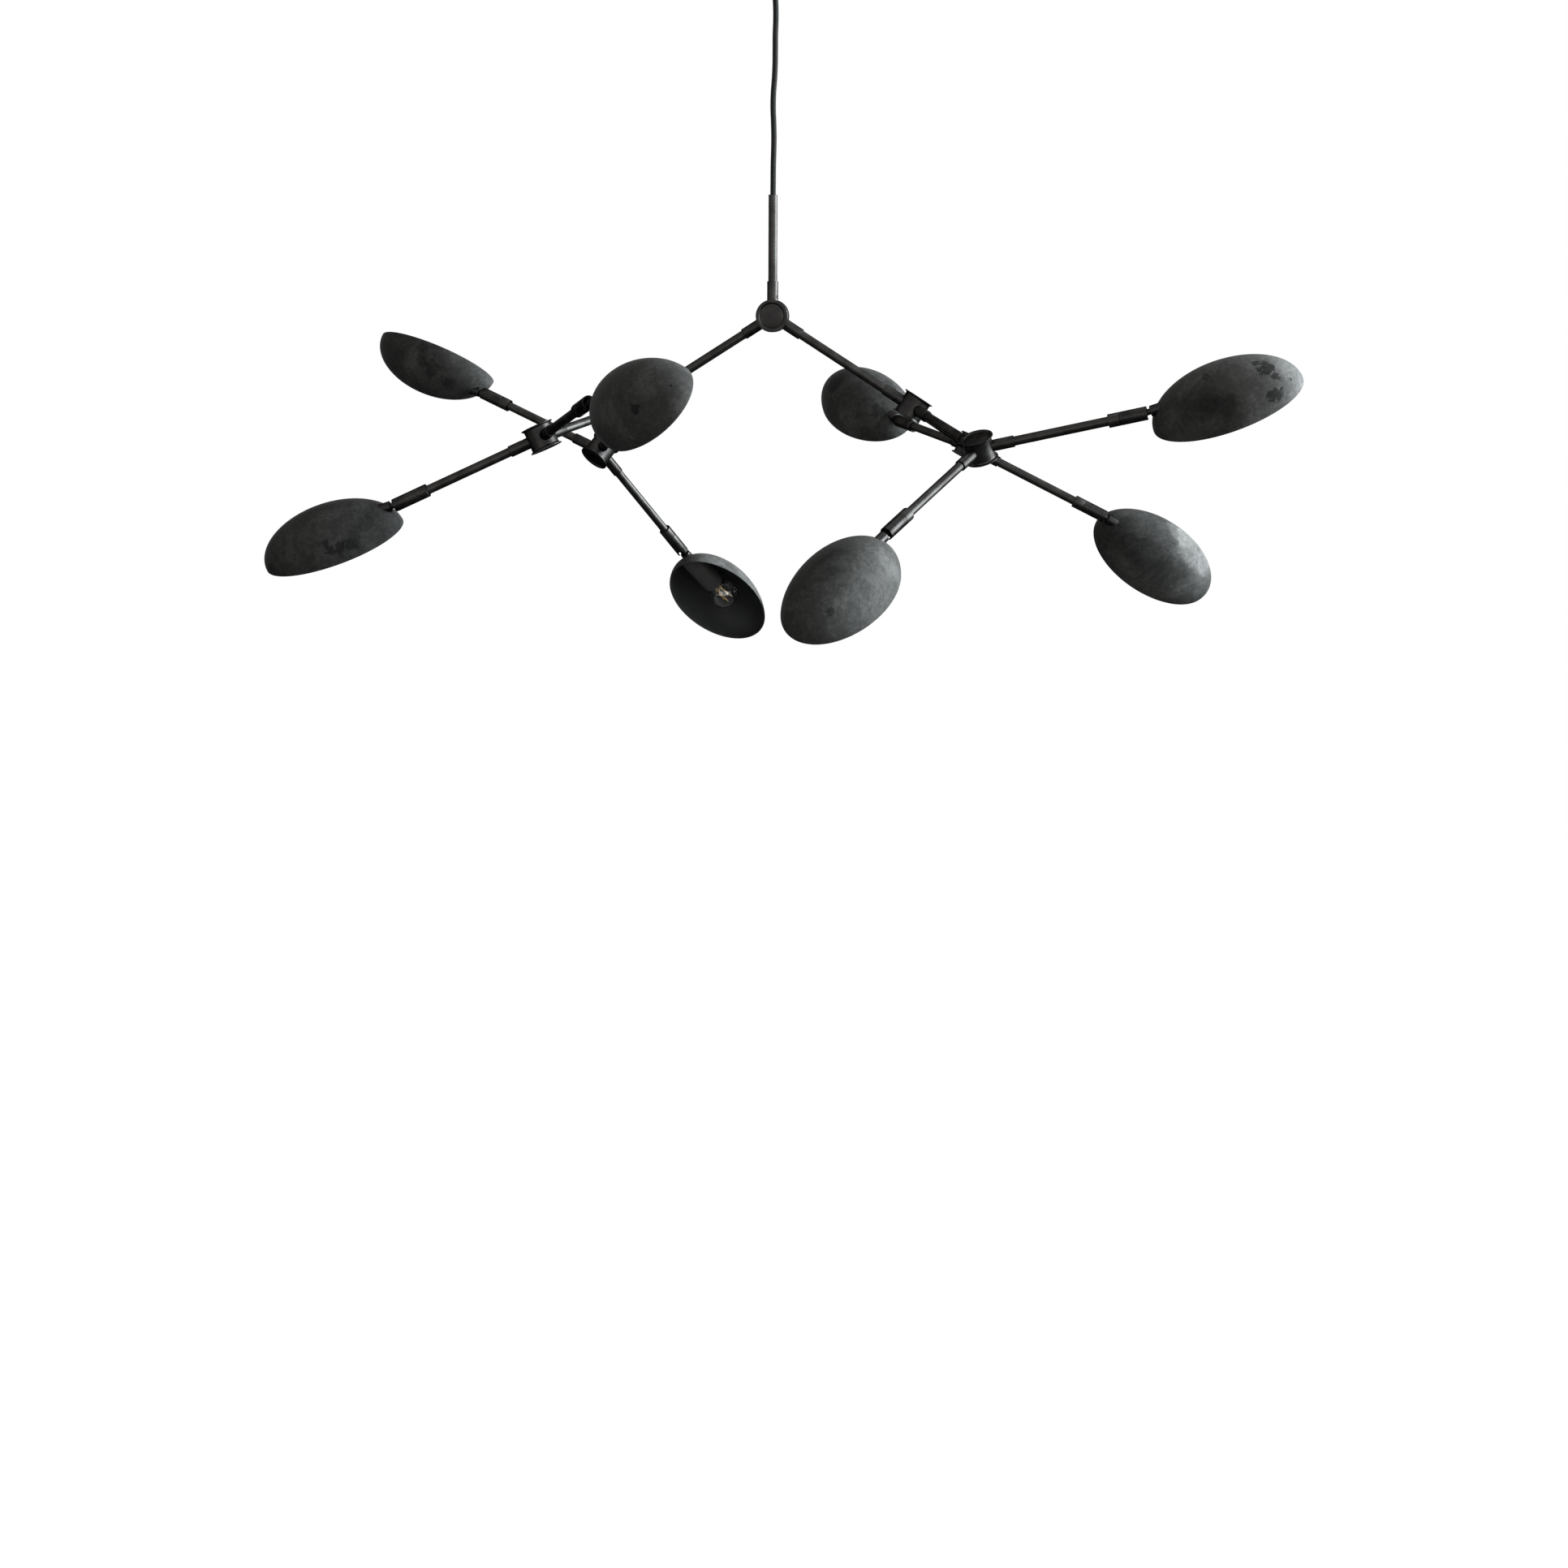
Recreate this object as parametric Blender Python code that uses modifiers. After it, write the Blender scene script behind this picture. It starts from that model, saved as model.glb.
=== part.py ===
"""A branching ceiling light: seven hubs, fourteen tubes and eight turning lamp heads.

The light hangs on one fabric cable. Each hub takes one tube in and sends two out, so the
stem splits into two, four and eight. Each outer tube ends in a lamp head: a barrel that
swivels about the tube, and in it a pin on which the shade tilts.
All lengths are metres, angles are degrees, and the ceiling is the plane z = 0.
"""
import math

import bmesh
import bpy
from mathutils import Matrix, Vector

# Clearances
FIT_GAP = 0.0003        # between two pieces that touch
BORE_GAP = 0.00035      # round a turned piece in its bore
CUT_OVERRUN = 0.004     # how far a cutter runs past the face it opens
MERGE_DISTANCE = 0.00001

# The tree of arms, from hub centre to hub centre or to the tilt pin
HANGING_HEIGHT = 0.480
MAIN_ARM_LENGTH = 0.226
BRANCH_ARM_LENGTH = 0.2005
LAMP_ARM_LENGTH = 0.2113
MAIN_ARM_SLOPE = 32.3
SOCKET_SPREAD = 60.0
TUBE_RADIUS = 0.006
TUBE_SIDES = 12

# Hub: a flanged spool with three sockets
HUB_FLANGE_RADIUS = 0.0216
HUB_LENGTH = 0.032
HUB_LIP = 0.0012
HUB_WAIST_RADIUS = 0.0187
HUB_WAIST_HALF_LENGTH = 0.0115
HUB_LID_RADIUS = 0.0160
HUB_LID_RECESS = 0.0011
HUB_STEPS = 14
SOCKET_RADIUS = 0.0075
SOCKET_REACH = 0.046
SOCKET_DEPTH = 0.024
SOCKET_SIDES = 10

# Stem and ceiling fitting
STEM_TOP = 0.1593       # above the top hub's centre
GRIP_RADIUS = 0.0044
GRIP_LENGTH = 0.0135
CABLE_RADIUS = 0.00375
CABLE_STEP_DIAMETERS = 2.5
CANOPY_RADIUS = 0.055
CANOPY_HEIGHT = 0.028
CANOPY_WALL = 0.0015
CANOPY_EDGE_RADIUS = 0.005
CANOPY_STEPS = 18
GLAND_SHANK_RADIUS = 0.005
GLAND_NUT_RADIUS = 0.0085
GLAND_NUT_HEIGHT = 0.0038
GLAND_FLANGE_RADIUS = 0.009
GLAND_FLANGE_HEIGHT = 0.0025
GLAND_NOSE_RADIUS = 0.0062
GLAND_LENGTH = 0.012    # below the canopy
GLAND_STEPS = 12
BRACKET_WIDTH = 0.018
BRACKET_THICKNESS = 0.002
BRACKET_EAR = 0.015

# Lamp head: collar on the tube, barrel that swivels on its spigot
HEAD_RADIUS = 0.00875
HEAD_CHAMFER = 0.0006
HEAD_STEPS = 12
COLLAR_LENGTH = 0.0145
SPIGOT_RADIUS = 0.005
SPIGOT_LENGTH = 0.0142
BARREL_LENGTH = 0.0350
PIN_SETBACK = 0.0065    # from the barrel's open end to the tilt pin
MOUTH_RADIUS = 0.0068
MOUTH_DEPTH = 0.0128
NOTCH_HALF_WIDTH = 0.0044
NOTCH_BACK = 0.0008     # behind the tilt pin
PIN_RADIUS = 0.0020
PIN_HALF_LENGTH = 0.0080

# Knuckle, stub and lampholder, along the lamp's axis from the tilt pin
BOSS_RADIUS = 0.0046
BOSS_HALF_LENGTH = 0.0041
NECK_RADIUS = 0.0040
STUB_START = 0.0110
STUB_RADIUS = 0.0072
SHANK_RADIUS = 0.0048
HOLDER_RADIUS = 0.0160
HOLDER_END = 0.0900
HOLDER_RIM = 0.0030
HOLDER_MOUTH_DEPTH = 0.0060
KNUCKLE_SIDES = 10
HOLDER_STEPS = 10

# Bulb: a small globe on a screw cap
GLOBE_RADIUS = 0.0225
GLOBE_CENTRE = 0.1190
GLASS_WALL = 0.0011
BULB_NECK_RADIUS = 0.0085
BULB_NECK_START = 0.0895
CAP_RADIUS = 0.00675
CAP_FOOT_RADIUS = 0.0045
CAP_FOOT = 0.0025
CAP_LENGTH = 0.0255
CAP_HOLE_RADIUS = 0.0032
BULB_STEPS = 10

# Shade: half of an egg-shaped shell, cut through its long axis
SHADE_BACK = 0.096      # from its widest place to the end at the joint
SHADE_FRONT = 0.099
SHADE_HALF_WIDTH = 0.059
SHADE_DEPTH = 0.057
SHADE_LEAN = 0.002      # how far the crown stands towards the front
SHADE_WALL = 0.0015
SHADE_CENTRE = 0.101    # widest place, along the lamp's axis from the tilt pin
RIM_DROP = 0.028        # rim plane below the lamp's axis
SHADE_SIDES = 18
SHADE_RINGS = 4

# How each hub is turned about the tube that carries it
BRANCHES = (
    ("left", -1, 7.0, (("front", 1, -175.0), ("back", -1, 81.6))),
    ("right", 1, -3.4, (("front", 1, 46.4), ("back", -1, 166.4))),
)

# Lamp number, the hub it hangs on, the side of that hub, swivel and tilt as they stand
LAMPS = (
    (1, "left_back", 1, 168.7, 5.7),
    (2, "left_front", 1, 152.4, 6.7),
    (3, "left_front", -1, -141.1, -13.3),
    (4, "left_back", -1, -36.2, 8.2),
    (5, "right_front", 1, 156.0, -3.3),
    (6, "right_back", 1, -57.3, 15.1),
    (7, "right_front", -1, -169.7, 8.0),
    (8, "right_back", -1, 63.5, -8.7),
)

# The cable's route, chosen by hand, from the stem to the gland
CABLE_ROUTE = (
    (0.0000, 0.0000, -0.3204),
    (0.0001, 0.0000, -0.3017),
    (0.0002, 0.0002, -0.2830),
    (0.0006, 0.0006, -0.2644),
    (0.0008, 0.0010, -0.2460),
    (0.0003, 0.0010, -0.2270),
    (-0.0004, 0.0006, -0.2084),
    (0.0000, 0.0000, -0.1900),
    (0.0014, -0.0006, -0.1710),
    (0.0022, -0.0010, -0.1524),
    (0.0023, -0.0010, -0.1340),
    (0.0023, -0.0006, -0.1150),
    (0.0028, 0.0000, -0.0964),
    (0.0025, 0.0004, -0.0780),
    (0.0011, 0.0003, -0.0590),
    (0.0000, 0.0000, -0.0403),
)

# Colour, metallic and roughness of each finish
FINISHES = {
    "patinated_iron": ((0.045, 0.048, 0.048), 0.6, 0.55),
    "burnished_steel": ((0.075, 0.070, 0.065), 1.0, 0.38),
    "black_fabric": ((0.012, 0.012, 0.012), 0.0, 0.9),
    "holder_grey": ((0.10, 0.10, 0.098), 0.2, 0.6),
    "bulb_glass": ((0.85, 0.87, 0.88), 0.0, 0.05),
}


def clear_scene():
    for obj in list(bpy.data.objects):
        bpy.data.objects.remove(obj, do_unlink=True)


def make_collection(name):
    collection = bpy.data.collections.new(name)
    bpy.context.scene.collection.children.link(collection)
    return collection


def make_finish(name):
    colour, metallic, roughness = FINISHES[name]
    material = bpy.data.materials.new(name)
    material.use_nodes = True
    shader = material.node_tree.nodes["Principled BSDF"]
    shader.inputs["Base Color"].default_value = (*colour, 1)
    shader.inputs["Metallic"].default_value = metallic
    shader.inputs["Roughness"].default_value = roughness
    if name == "bulb_glass":
        shader.inputs["Transmission Weight"].default_value = 1
    material.diffuse_color = (*colour, 1)
    return material


def guide(name, mesh):
    """An object of the guide collection: a cutter, or the pattern that repeated pieces share."""
    obj = bpy.data.objects.new(name, mesh)
    obj.hide_render = True
    obj.display_type = 'WIRE'
    guides.objects.link(obj)
    return obj


def baked_mesh(obj, name):
    """The evaluated mesh of a guide, in the guide's own axes."""
    bpy.context.view_layer.update()
    evaluated = obj.evaluated_get(bpy.context.evaluated_depsgraph_get())
    mesh = bpy.data.meshes.new_from_object(evaluated)
    mesh.name = name
    mesh.shade_smooth()
    mesh.set_sharp_from_angle(angle=math.radians(35))
    return mesh


def place(name, mesh, finish, parent=None, matrix=None):
    """One finished piece, either under a frame or straight in the world."""
    obj = bpy.data.objects.new(name, mesh)
    mesh.materials.clear()
    mesh.materials.append(finishes[finish])
    light.objects.link(obj)
    if parent is not None:
        obj.parent = parent
    if matrix is not None:
        obj.matrix_local = matrix
    return obj


def frame_empty(name, matrix, parent=None):
    empty = bpy.data.objects.new(name, None)
    light.objects.link(empty)
    empty.parent = parent
    empty.matrix_local = matrix
    empty.empty_display_size = HUB_LENGTH
    return empty


def turned(name, profile, steps, ring=False):
    """A profile of (radius, height), given down its outer side, spun about Z."""
    mesh = bpy.data.meshes.new(name)
    edges = [(i, i + 1) for i in range(len(profile) - 1)]
    if ring:
        edges.append((len(profile) - 1, 0))
    mesh.from_pydata([(radius, 0, height) for radius, height in profile], edges, [])
    obj = guide(name, mesh)
    screw = obj.modifiers.new("Turn", 'SCREW')
    screw.axis = 'Z'
    screw.angle = math.tau
    screw.steps = steps
    screw.render_steps = steps
    screw.use_merge_vertices = True
    screw.merge_threshold = MERGE_DISTANCE
    return obj


def rod(name, radius, start, end, sides, turn=None):
    """A cylinder along Z from start to end, then turned."""
    mesh = bpy.data.meshes.new(name)
    bm = bmesh.new()
    bmesh.ops.create_cone(
        bm, cap_ends=True, segments=sides, radius1=radius, radius2=radius, depth=end - start,
        matrix=Matrix.Translation((0, 0, (start + end) / 2)))
    if turn is not None:
        bmesh.ops.transform(bm, matrix=turn, verts=bm.verts)
    bm.to_mesh(mesh)
    bm.free()
    return guide(name, mesh)


def block(name, low, high):
    """A box between two corners."""
    mesh = bpy.data.meshes.new(name)
    bm = bmesh.new()
    size = [b - a for a, b in zip(low, high)]
    middle = [(a + b) / 2 for a, b in zip(low, high)]
    bmesh.ops.create_cube(bm, size=1, matrix=Matrix.Translation(middle) @ Matrix.Diagonal((*size, 1)))
    bm.to_mesh(mesh)
    bm.free()
    return guide(name, mesh)


def combine(obj, other, operation):
    boolean = obj.modifiers.new(other.name, 'BOOLEAN')
    boolean.operation = operation
    boolean.solver = 'EXACT'
    boolean.object = other


def arc(centre, radius, start, end, count):
    """Profile points on a round stretch; angles are from the outward radius."""
    points = []
    for i in range(count):
        angle = math.radians(start + (end - start) * i / (count - 1))
        points.append((centre[0] + radius * math.cos(angle), centre[1] + radius * math.sin(angle)))
    return points


# Hubs and tubes

def hub_pattern(name, outlet_angle):
    """A spool about Z, its inlet socket on -X and its outlets at the angle either side of +X."""
    half = HUB_LENGTH / 2
    upper = [
        (0, half - HUB_LID_RECESS),
        (HUB_LID_RADIUS, half - HUB_LID_RECESS),
        (HUB_LID_RADIUS, half),
        (HUB_FLANGE_RADIUS, half),
        (HUB_FLANGE_RADIUS, half - HUB_LIP),
        (HUB_WAIST_RADIUS, HUB_WAIST_HALF_LENGTH),
    ]
    lower = [(radius, -height) for radius, height in reversed(upper)]
    spool = turned(name, upper + lower, HUB_STEPS)
    for number, angle in enumerate((180, outlet_angle, -outlet_angle)):
        turn = Matrix.Rotation(math.radians(angle), 4, 'Z') @ Matrix.Rotation(math.radians(90), 4, 'Y')
        socket = rod(f"{name}_socket_{number}", SOCKET_RADIUS, 0, SOCKET_REACH, SOCKET_SIDES, turn)
        combine(spool, socket, 'UNION')
    for number, angle in enumerate((180, outlet_angle, -outlet_angle)):
        turn = Matrix.Rotation(math.radians(angle), 4, 'Z') @ Matrix.Rotation(math.radians(90), 4, 'Y')
        bore = rod(f"{name}_bore_{number}", TUBE_RADIUS + FIT_GAP, SOCKET_REACH - SOCKET_DEPTH,
                   SOCKET_REACH + CUT_OVERRUN, TUBE_SIDES, turn)
        combine(spool, bore, 'DIFFERENCE')
    return spool


def hub_axes(centre, incoming, across):
    """X along the arm that carries the hub, Y in the plane of its sockets, Z along its spool."""
    axis = incoming.cross(across)
    rotation = Matrix((incoming, across, axis)).transposed()
    return Matrix.Translation(centre) @ rotation.to_4x4()


def across_at(incoming, roll):
    """The direction square to the arm that faces the front, rolled about the arm."""
    front = Vector((0, -1, 0))
    level = (front - incoming * incoming.dot(front)).normalized()
    return Matrix.Rotation(math.radians(roll), 3, incoming) @ level


def outlet(incoming, across, side):
    spread = math.radians(SOCKET_SPREAD)
    return incoming * math.cos(spread) + across * math.sin(spread) * side


def axes_along(start, direction):
    """A frame at a point whose Z runs along a direction."""
    return Matrix.Translation(start) @ direction.to_track_quat('Z', 'Y').to_matrix().to_4x4()


def tube_seat():
    """Where a tube starts, from the centre of the hub that holds it."""
    return SOCKET_REACH - SOCKET_DEPTH + FIT_GAP


def add_tube(name, start, direction, length):
    """A tube seated in the sockets of two hubs that are a length apart."""
    mesh = baked_mesh(rod(f"{name}_form", TUBE_RADIUS, tube_seat(), length - tube_seat(), TUBE_SIDES), name)
    return place(name, mesh, "burnished_steel", matrix=axes_along(start, direction))


def add_hubs_and_arms():
    """The top hub, and the two and four that hang from it. Returns each end hub's axes."""
    top = Vector((0, 0, -HANGING_HEIGHT))
    down = Vector((0, 0, -1))
    right = Vector((1, 0, 0))
    slope = math.radians(MAIN_ARM_SLOPE)
    top_mesh = baked_mesh(hub_pattern("top_hub_form", 90 - MAIN_ARM_SLOPE), "top_hub")
    place("top_hub", top_mesh, "burnished_steel", matrix=hub_axes(top, down, right))
    hub_mesh = baked_mesh(hub_pattern("hub_form", SOCKET_SPREAD), "hub")
    ends = {}
    for side_name, side, roll, twigs in BRANCHES:
        out = right * math.cos(slope) * side + down * math.sin(slope)
        centre = top + out * MAIN_ARM_LENGTH
        across = across_at(out, roll)
        add_tube(f"{side_name}_main_arm", top, out, MAIN_ARM_LENGTH)
        place(f"{side_name}_hub", hub_mesh, "burnished_steel", matrix=hub_axes(centre, out, across))
        for twig_name, twig_side, twig_roll in twigs:
            name = f"{side_name}_{twig_name}"
            twig = outlet(out, across, twig_side)
            end = centre + twig * BRANCH_ARM_LENGTH
            end_across = across_at(twig, twig_roll)
            add_tube(f"{name}_branch_arm", centre, twig, BRANCH_ARM_LENGTH)
            place(f"{name}_hub", hub_mesh, "burnished_steel", matrix=hub_axes(end, twig, end_across))
            ends[name] = (end, twig, end_across)
    return ends


# Lamp heads

def lamp_arm_form():
    """Tube, fixed collar and the spigot that the barrel turns on; Z runs out, the pin is at 0."""
    barrel_back = PIN_SETBACK - BARREL_LENGTH
    spigot_end = barrel_back + SPIGOT_LENGTH
    collar_end = barrel_back - FIT_GAP
    collar_start = collar_end - COLLAR_LENGTH
    tube_start = tube_seat() - LAMP_ARM_LENGTH
    profile = [
        (0, spigot_end),
        (SPIGOT_RADIUS, spigot_end),
        (SPIGOT_RADIUS, collar_end),
        (HEAD_RADIUS, collar_end),
        (HEAD_RADIUS, collar_start),
        (TUBE_RADIUS, collar_start),
        (TUBE_RADIUS, tube_start),
        (0, tube_start),
    ]
    return turned("lamp_arm_form", profile, HEAD_STEPS)


def barrel_form():
    """The barrel: blind bore behind for the spigot, open mouth with an underside notch, and pin."""
    back = PIN_SETBACK - BARREL_LENGTH
    mouth_floor = PIN_SETBACK - MOUTH_DEPTH
    spigot_floor = back + SPIGOT_LENGTH + FIT_GAP
    profile = [
        (0, mouth_floor),
        (MOUTH_RADIUS, mouth_floor),
        (MOUTH_RADIUS, PIN_SETBACK),
        (HEAD_RADIUS - HEAD_CHAMFER, PIN_SETBACK),
        (HEAD_RADIUS, PIN_SETBACK - HEAD_CHAMFER),
        (HEAD_RADIUS, back),
        (SPIGOT_RADIUS + FIT_GAP, back),
        (SPIGOT_RADIUS + FIT_GAP, spigot_floor),
        (0, spigot_floor),
    ]
    barrel = turned("barrel_form", profile, HEAD_STEPS)
    notch_centre = NOTCH_HALF_WIDTH - NOTCH_BACK
    sideways = Matrix.Translation((0, 0, notch_centre)) @ Matrix.Rotation(math.radians(-90), 4, 'Y')
    notch_depth = HEAD_RADIUS + CUT_OVERRUN
    combine(barrel, rod("notch_floor", NOTCH_HALF_WIDTH, 0, notch_depth, KNUCKLE_SIDES, sideways),
            'DIFFERENCE')
    combine(barrel, block("notch_mouth", (-notch_depth, -NOTCH_HALF_WIDTH, notch_centre),
                          (0, NOTCH_HALF_WIDTH, PIN_SETBACK + CUT_OVERRUN)), 'DIFFERENCE')
    crosswise = Matrix.Rotation(math.radians(90), 4, 'X')
    combine(barrel, rod("tilt_pin", PIN_RADIUS, -PIN_HALF_LENGTH, PIN_HALF_LENGTH, KNUCKLE_SIDES,
                        crosswise), 'UNION')
    return barrel


def half_egg(name, grow, open_rim):
    """Half of an egg-shaped surface, rim down on -X, its sizes grown by a given amount."""
    mesh = bpy.data.meshes.new(name)
    bm = bmesh.new()
    bmesh.ops.create_uvsphere(bm, u_segments=SHADE_SIDES, v_segments=2 * SHADE_RINGS, radius=1)
    below = [v for v in bm.verts if v.co.z < -1e-5]
    bmesh.ops.delete(bm, geom=below, context='VERTS')
    if not open_rim:
        bmesh.ops.holes_fill(bm, edges=[e for e in bm.edges if e.is_boundary], sides=0)
    for vert in bm.verts:
        along, side, up = vert.co
        reach = (SHADE_FRONT if along > 0 else SHADE_BACK) + grow
        vert.co = Vector((
            up * (SHADE_DEPTH + grow) - RIM_DROP,
            -side * (SHADE_HALF_WIDTH + grow),
            SHADE_CENTRE + along * reach + up * SHADE_LEAN))
    bmesh.ops.recalc_face_normals(bm, faces=bm.faces)
    bm.to_mesh(mesh)
    bm.free()
    return guide(name, mesh)


def shade_form():
    """The shell, with the hole that the shank passes through."""
    shell = half_egg("shade_form", 0, open_rim=True)
    wall = shell.modifiers.new("Wall", 'SOLIDIFY')
    wall.thickness = SHADE_WALL
    wall.offset = -1
    wall.use_even_offset = True
    hole = rod("shank_hole", SHANK_RADIUS + BORE_GAP, 0, SHADE_CENTRE - SHADE_BACK / 2, KNUCKLE_SIDES)
    combine(shell, hole, 'DIFFERENCE')
    return shell


def holder_form():
    """Knuckle boss, neck and stub outside the shade, shank through it, lampholder inside."""
    holder_back = SHADE_CENTRE - SHADE_BACK
    cap_floor = HOLDER_END - CAP_LENGTH - CAP_FOOT - FIT_GAP
    cup = turned("holder_form", [
        (0, cap_floor),
        (CAP_RADIUS + BORE_GAP, cap_floor),
        (CAP_RADIUS + BORE_GAP, HOLDER_END - HOLDER_MOUTH_DEPTH),
        (HOLDER_RADIUS - HOLDER_RIM, HOLDER_END - HOLDER_MOUTH_DEPTH),
        (HOLDER_RADIUS - HOLDER_RIM, HOLDER_END),
        (HOLDER_RADIUS, HOLDER_END),
        (HOLDER_RADIUS, holder_back),
        (0, holder_back),
    ], HOLDER_STEPS)
    inside = half_egg("inside_of_shade", -SHADE_WALL - BORE_GAP, open_rim=False)
    combine(cup, inside, 'INTERSECT')
    stub = rod("stub", STUB_RADIUS, STUB_START, SHADE_CENTRE - SHADE_BACK / 2, KNUCKLE_SIDES)
    combine(stub, half_egg("outside_of_shade", BORE_GAP, open_rim=False), 'DIFFERENCE')
    combine(cup, stub, 'UNION')
    combine(cup, rod("shank", SHANK_RADIUS, STUB_START + FIT_GAP, cap_floor - CAP_FOOT, KNUCKLE_SIDES),
            'UNION')
    combine(cup, rod("neck", NECK_RADIUS, PIN_RADIUS, STUB_START + FIT_GAP, KNUCKLE_SIDES), 'UNION')
    crosswise = Matrix.Rotation(math.radians(90), 4, 'X')
    combine(cup, rod("boss", BOSS_RADIUS, -BOSS_HALF_LENGTH, BOSS_HALF_LENGTH, KNUCKLE_SIDES,
                     crosswise), 'UNION')
    through = BOSS_HALF_LENGTH + CUT_OVERRUN
    combine(cup, rod("pin_bore", PIN_RADIUS + BORE_GAP, -through, through, KNUCKLE_SIDES, crosswise),
            'DIFFERENCE')
    return cup


def bulb_form():
    """A hollow glass globe on its screw cap; the cap's foot is open."""
    foot = HOLDER_END - CAP_LENGTH - CAP_FOOT
    cap_start = foot + CAP_FOOT
    neck_angle = math.degrees(math.acos(BULB_NECK_RADIUS / GLOBE_RADIUS))
    outer = arc((0, GLOBE_CENTRE), GLOBE_RADIUS, 90, -neck_angle, 5)
    outer[0] = (0, GLOBE_CENTRE + GLOBE_RADIUS)
    outer += [
        (BULB_NECK_RADIUS, BULB_NECK_START),
        (CAP_RADIUS, BULB_NECK_START),
        (CAP_RADIUS, cap_start),
        (CAP_FOOT_RADIUS, foot),
    ]
    inner = arc((0, GLOBE_CENTRE), GLOBE_RADIUS - GLASS_WALL, -neck_angle, 90, 3)
    inner[-1] = (0, GLOBE_CENTRE + GLOBE_RADIUS - GLASS_WALL)
    outer.append((CAP_HOLE_RADIUS, foot))
    outer.append((CAP_RADIUS - GLASS_WALL, cap_start + CAP_FOOT))
    return turned("bulb_form", outer + inner, BULB_STEPS)


def lamp_axes(hub_end, side, swivel):
    """At the tilt pin: Z runs out along the arm and X towards the crown of the shade."""
    centre, incoming, across = hub_end
    out = outlet(incoming, across, side)
    spool_axis = incoming.cross(across)
    crown = Matrix.Rotation(math.radians(swivel), 3, out) @ spool_axis
    rotation = Matrix((crown, out.cross(crown), out)).transposed()
    return Matrix.Translation(centre + out * LAMP_ARM_LENGTH) @ rotation.to_4x4()


def add_lamps(ends):
    arm_mesh = baked_mesh(lamp_arm_form(), "lamp_arm")
    barrel_mesh = baked_mesh(barrel_form(), "swivel_barrel")
    shade_mesh = baked_mesh(shade_form(), "shade")
    holder_mesh = baked_mesh(holder_form(), "lampholder")
    bulb_mesh = baked_mesh(bulb_form(), "bulb")
    for number, hub_name, side, swivel, tilt in LAMPS:
        name = f"lamp_{number}"
        swivel_frame = frame_empty(f"{name}_swivel_frame", lamp_axes(ends[hub_name], side, swivel))
        tilt_turn = Matrix.Rotation(math.radians(tilt), 4, 'Y')
        tilt_frame = frame_empty(f"{name}_tilt_frame", tilt_turn, swivel_frame)
        place(f"{name}_arm", arm_mesh, "burnished_steel", swivel_frame)
        place(f"{name}_swivel_barrel", barrel_mesh, "burnished_steel", swivel_frame)
        place(f"{name}_shade", shade_mesh, "patinated_iron", tilt_frame)
        place(f"{name}_lampholder", holder_mesh, "holder_grey", tilt_frame)
        place(f"{name}_bulb", bulb_mesh, "bulb_glass", tilt_frame)


# Stem, cable and ceiling fitting

def add_stem():
    """The stem stands in the top hub's upper socket and is bored at its top for the cord grip."""
    stem = rod("stem_form", TUBE_RADIUS, tube_seat(), STEM_TOP, TUBE_SIDES)
    bore = rod("stem_bore", GRIP_RADIUS + FIT_GAP, STEM_TOP - GRIP_LENGTH - FIT_GAP,
               STEM_TOP + CUT_OVERRUN, TUBE_SIDES)
    combine(stem, bore, 'DIFFERENCE')
    hub_centre = Matrix.Translation((0, 0, -HANGING_HEIGHT))
    place("stem_tube", baked_mesh(stem, "stem_tube"), "burnished_steel", matrix=hub_centre)
    grip = rod("grip_form", GRIP_RADIUS, STEM_TOP - GRIP_LENGTH, STEM_TOP, TUBE_SIDES)
    place("stem_cord_grip", baked_mesh(grip, "stem_cord_grip"), "black_fabric", matrix=hub_centre)


def smooth_route(points, step):
    """Points a step apart on a smooth curve through the given ones."""
    route = [Vector(p) for p in points]
    route = [2 * route[0] - route[1]] + route + [2 * route[-1] - route[-2]]
    fine = []
    for i in range(1, len(route) - 2):
        a, b, c, d = route[i - 1:i + 3]
        for k in range(8):
            t = k / 8
            fine.append(0.5 * (2 * b + (c - a) * t + (2 * a - 5 * b + 4 * c - d) * t ** 2
                               + (3 * b - a - 3 * c + d) * t ** 3))
    fine.append(route[-2])
    lengths = [0]
    for a, b in zip(fine, fine[1:]):
        lengths.append(lengths[-1] + (b - a).length)
    count = round(lengths[-1] / step)
    picked = [fine[min(range(len(fine)), key=lambda j: abs(lengths[j] - lengths[-1] * i / count))]
              for i in range(count)]
    return picked + [fine[-1]]


def add_cable():
    """The free stretch of cable, from the cord grip up to the gland."""
    curve = bpy.data.curves.new("power_cable", 'CURVE')
    curve.dimensions = '3D'
    curve.bevel_depth = CABLE_RADIUS
    curve.bevel_resolution = 2
    curve.use_fill_caps = True
    points = smooth_route(CABLE_ROUTE, 2 * CABLE_RADIUS * CABLE_STEP_DIAMETERS)
    spline = curve.splines.new('POLY')
    spline.points.add(len(points) - 1)
    for spot, point in zip(spline.points, points):
        spot.co = (*point, 1)
    cable = bpy.data.objects.new("power_cable", curve)
    curve.materials.append(finishes["black_fabric"])
    light.objects.link(cable)


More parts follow.
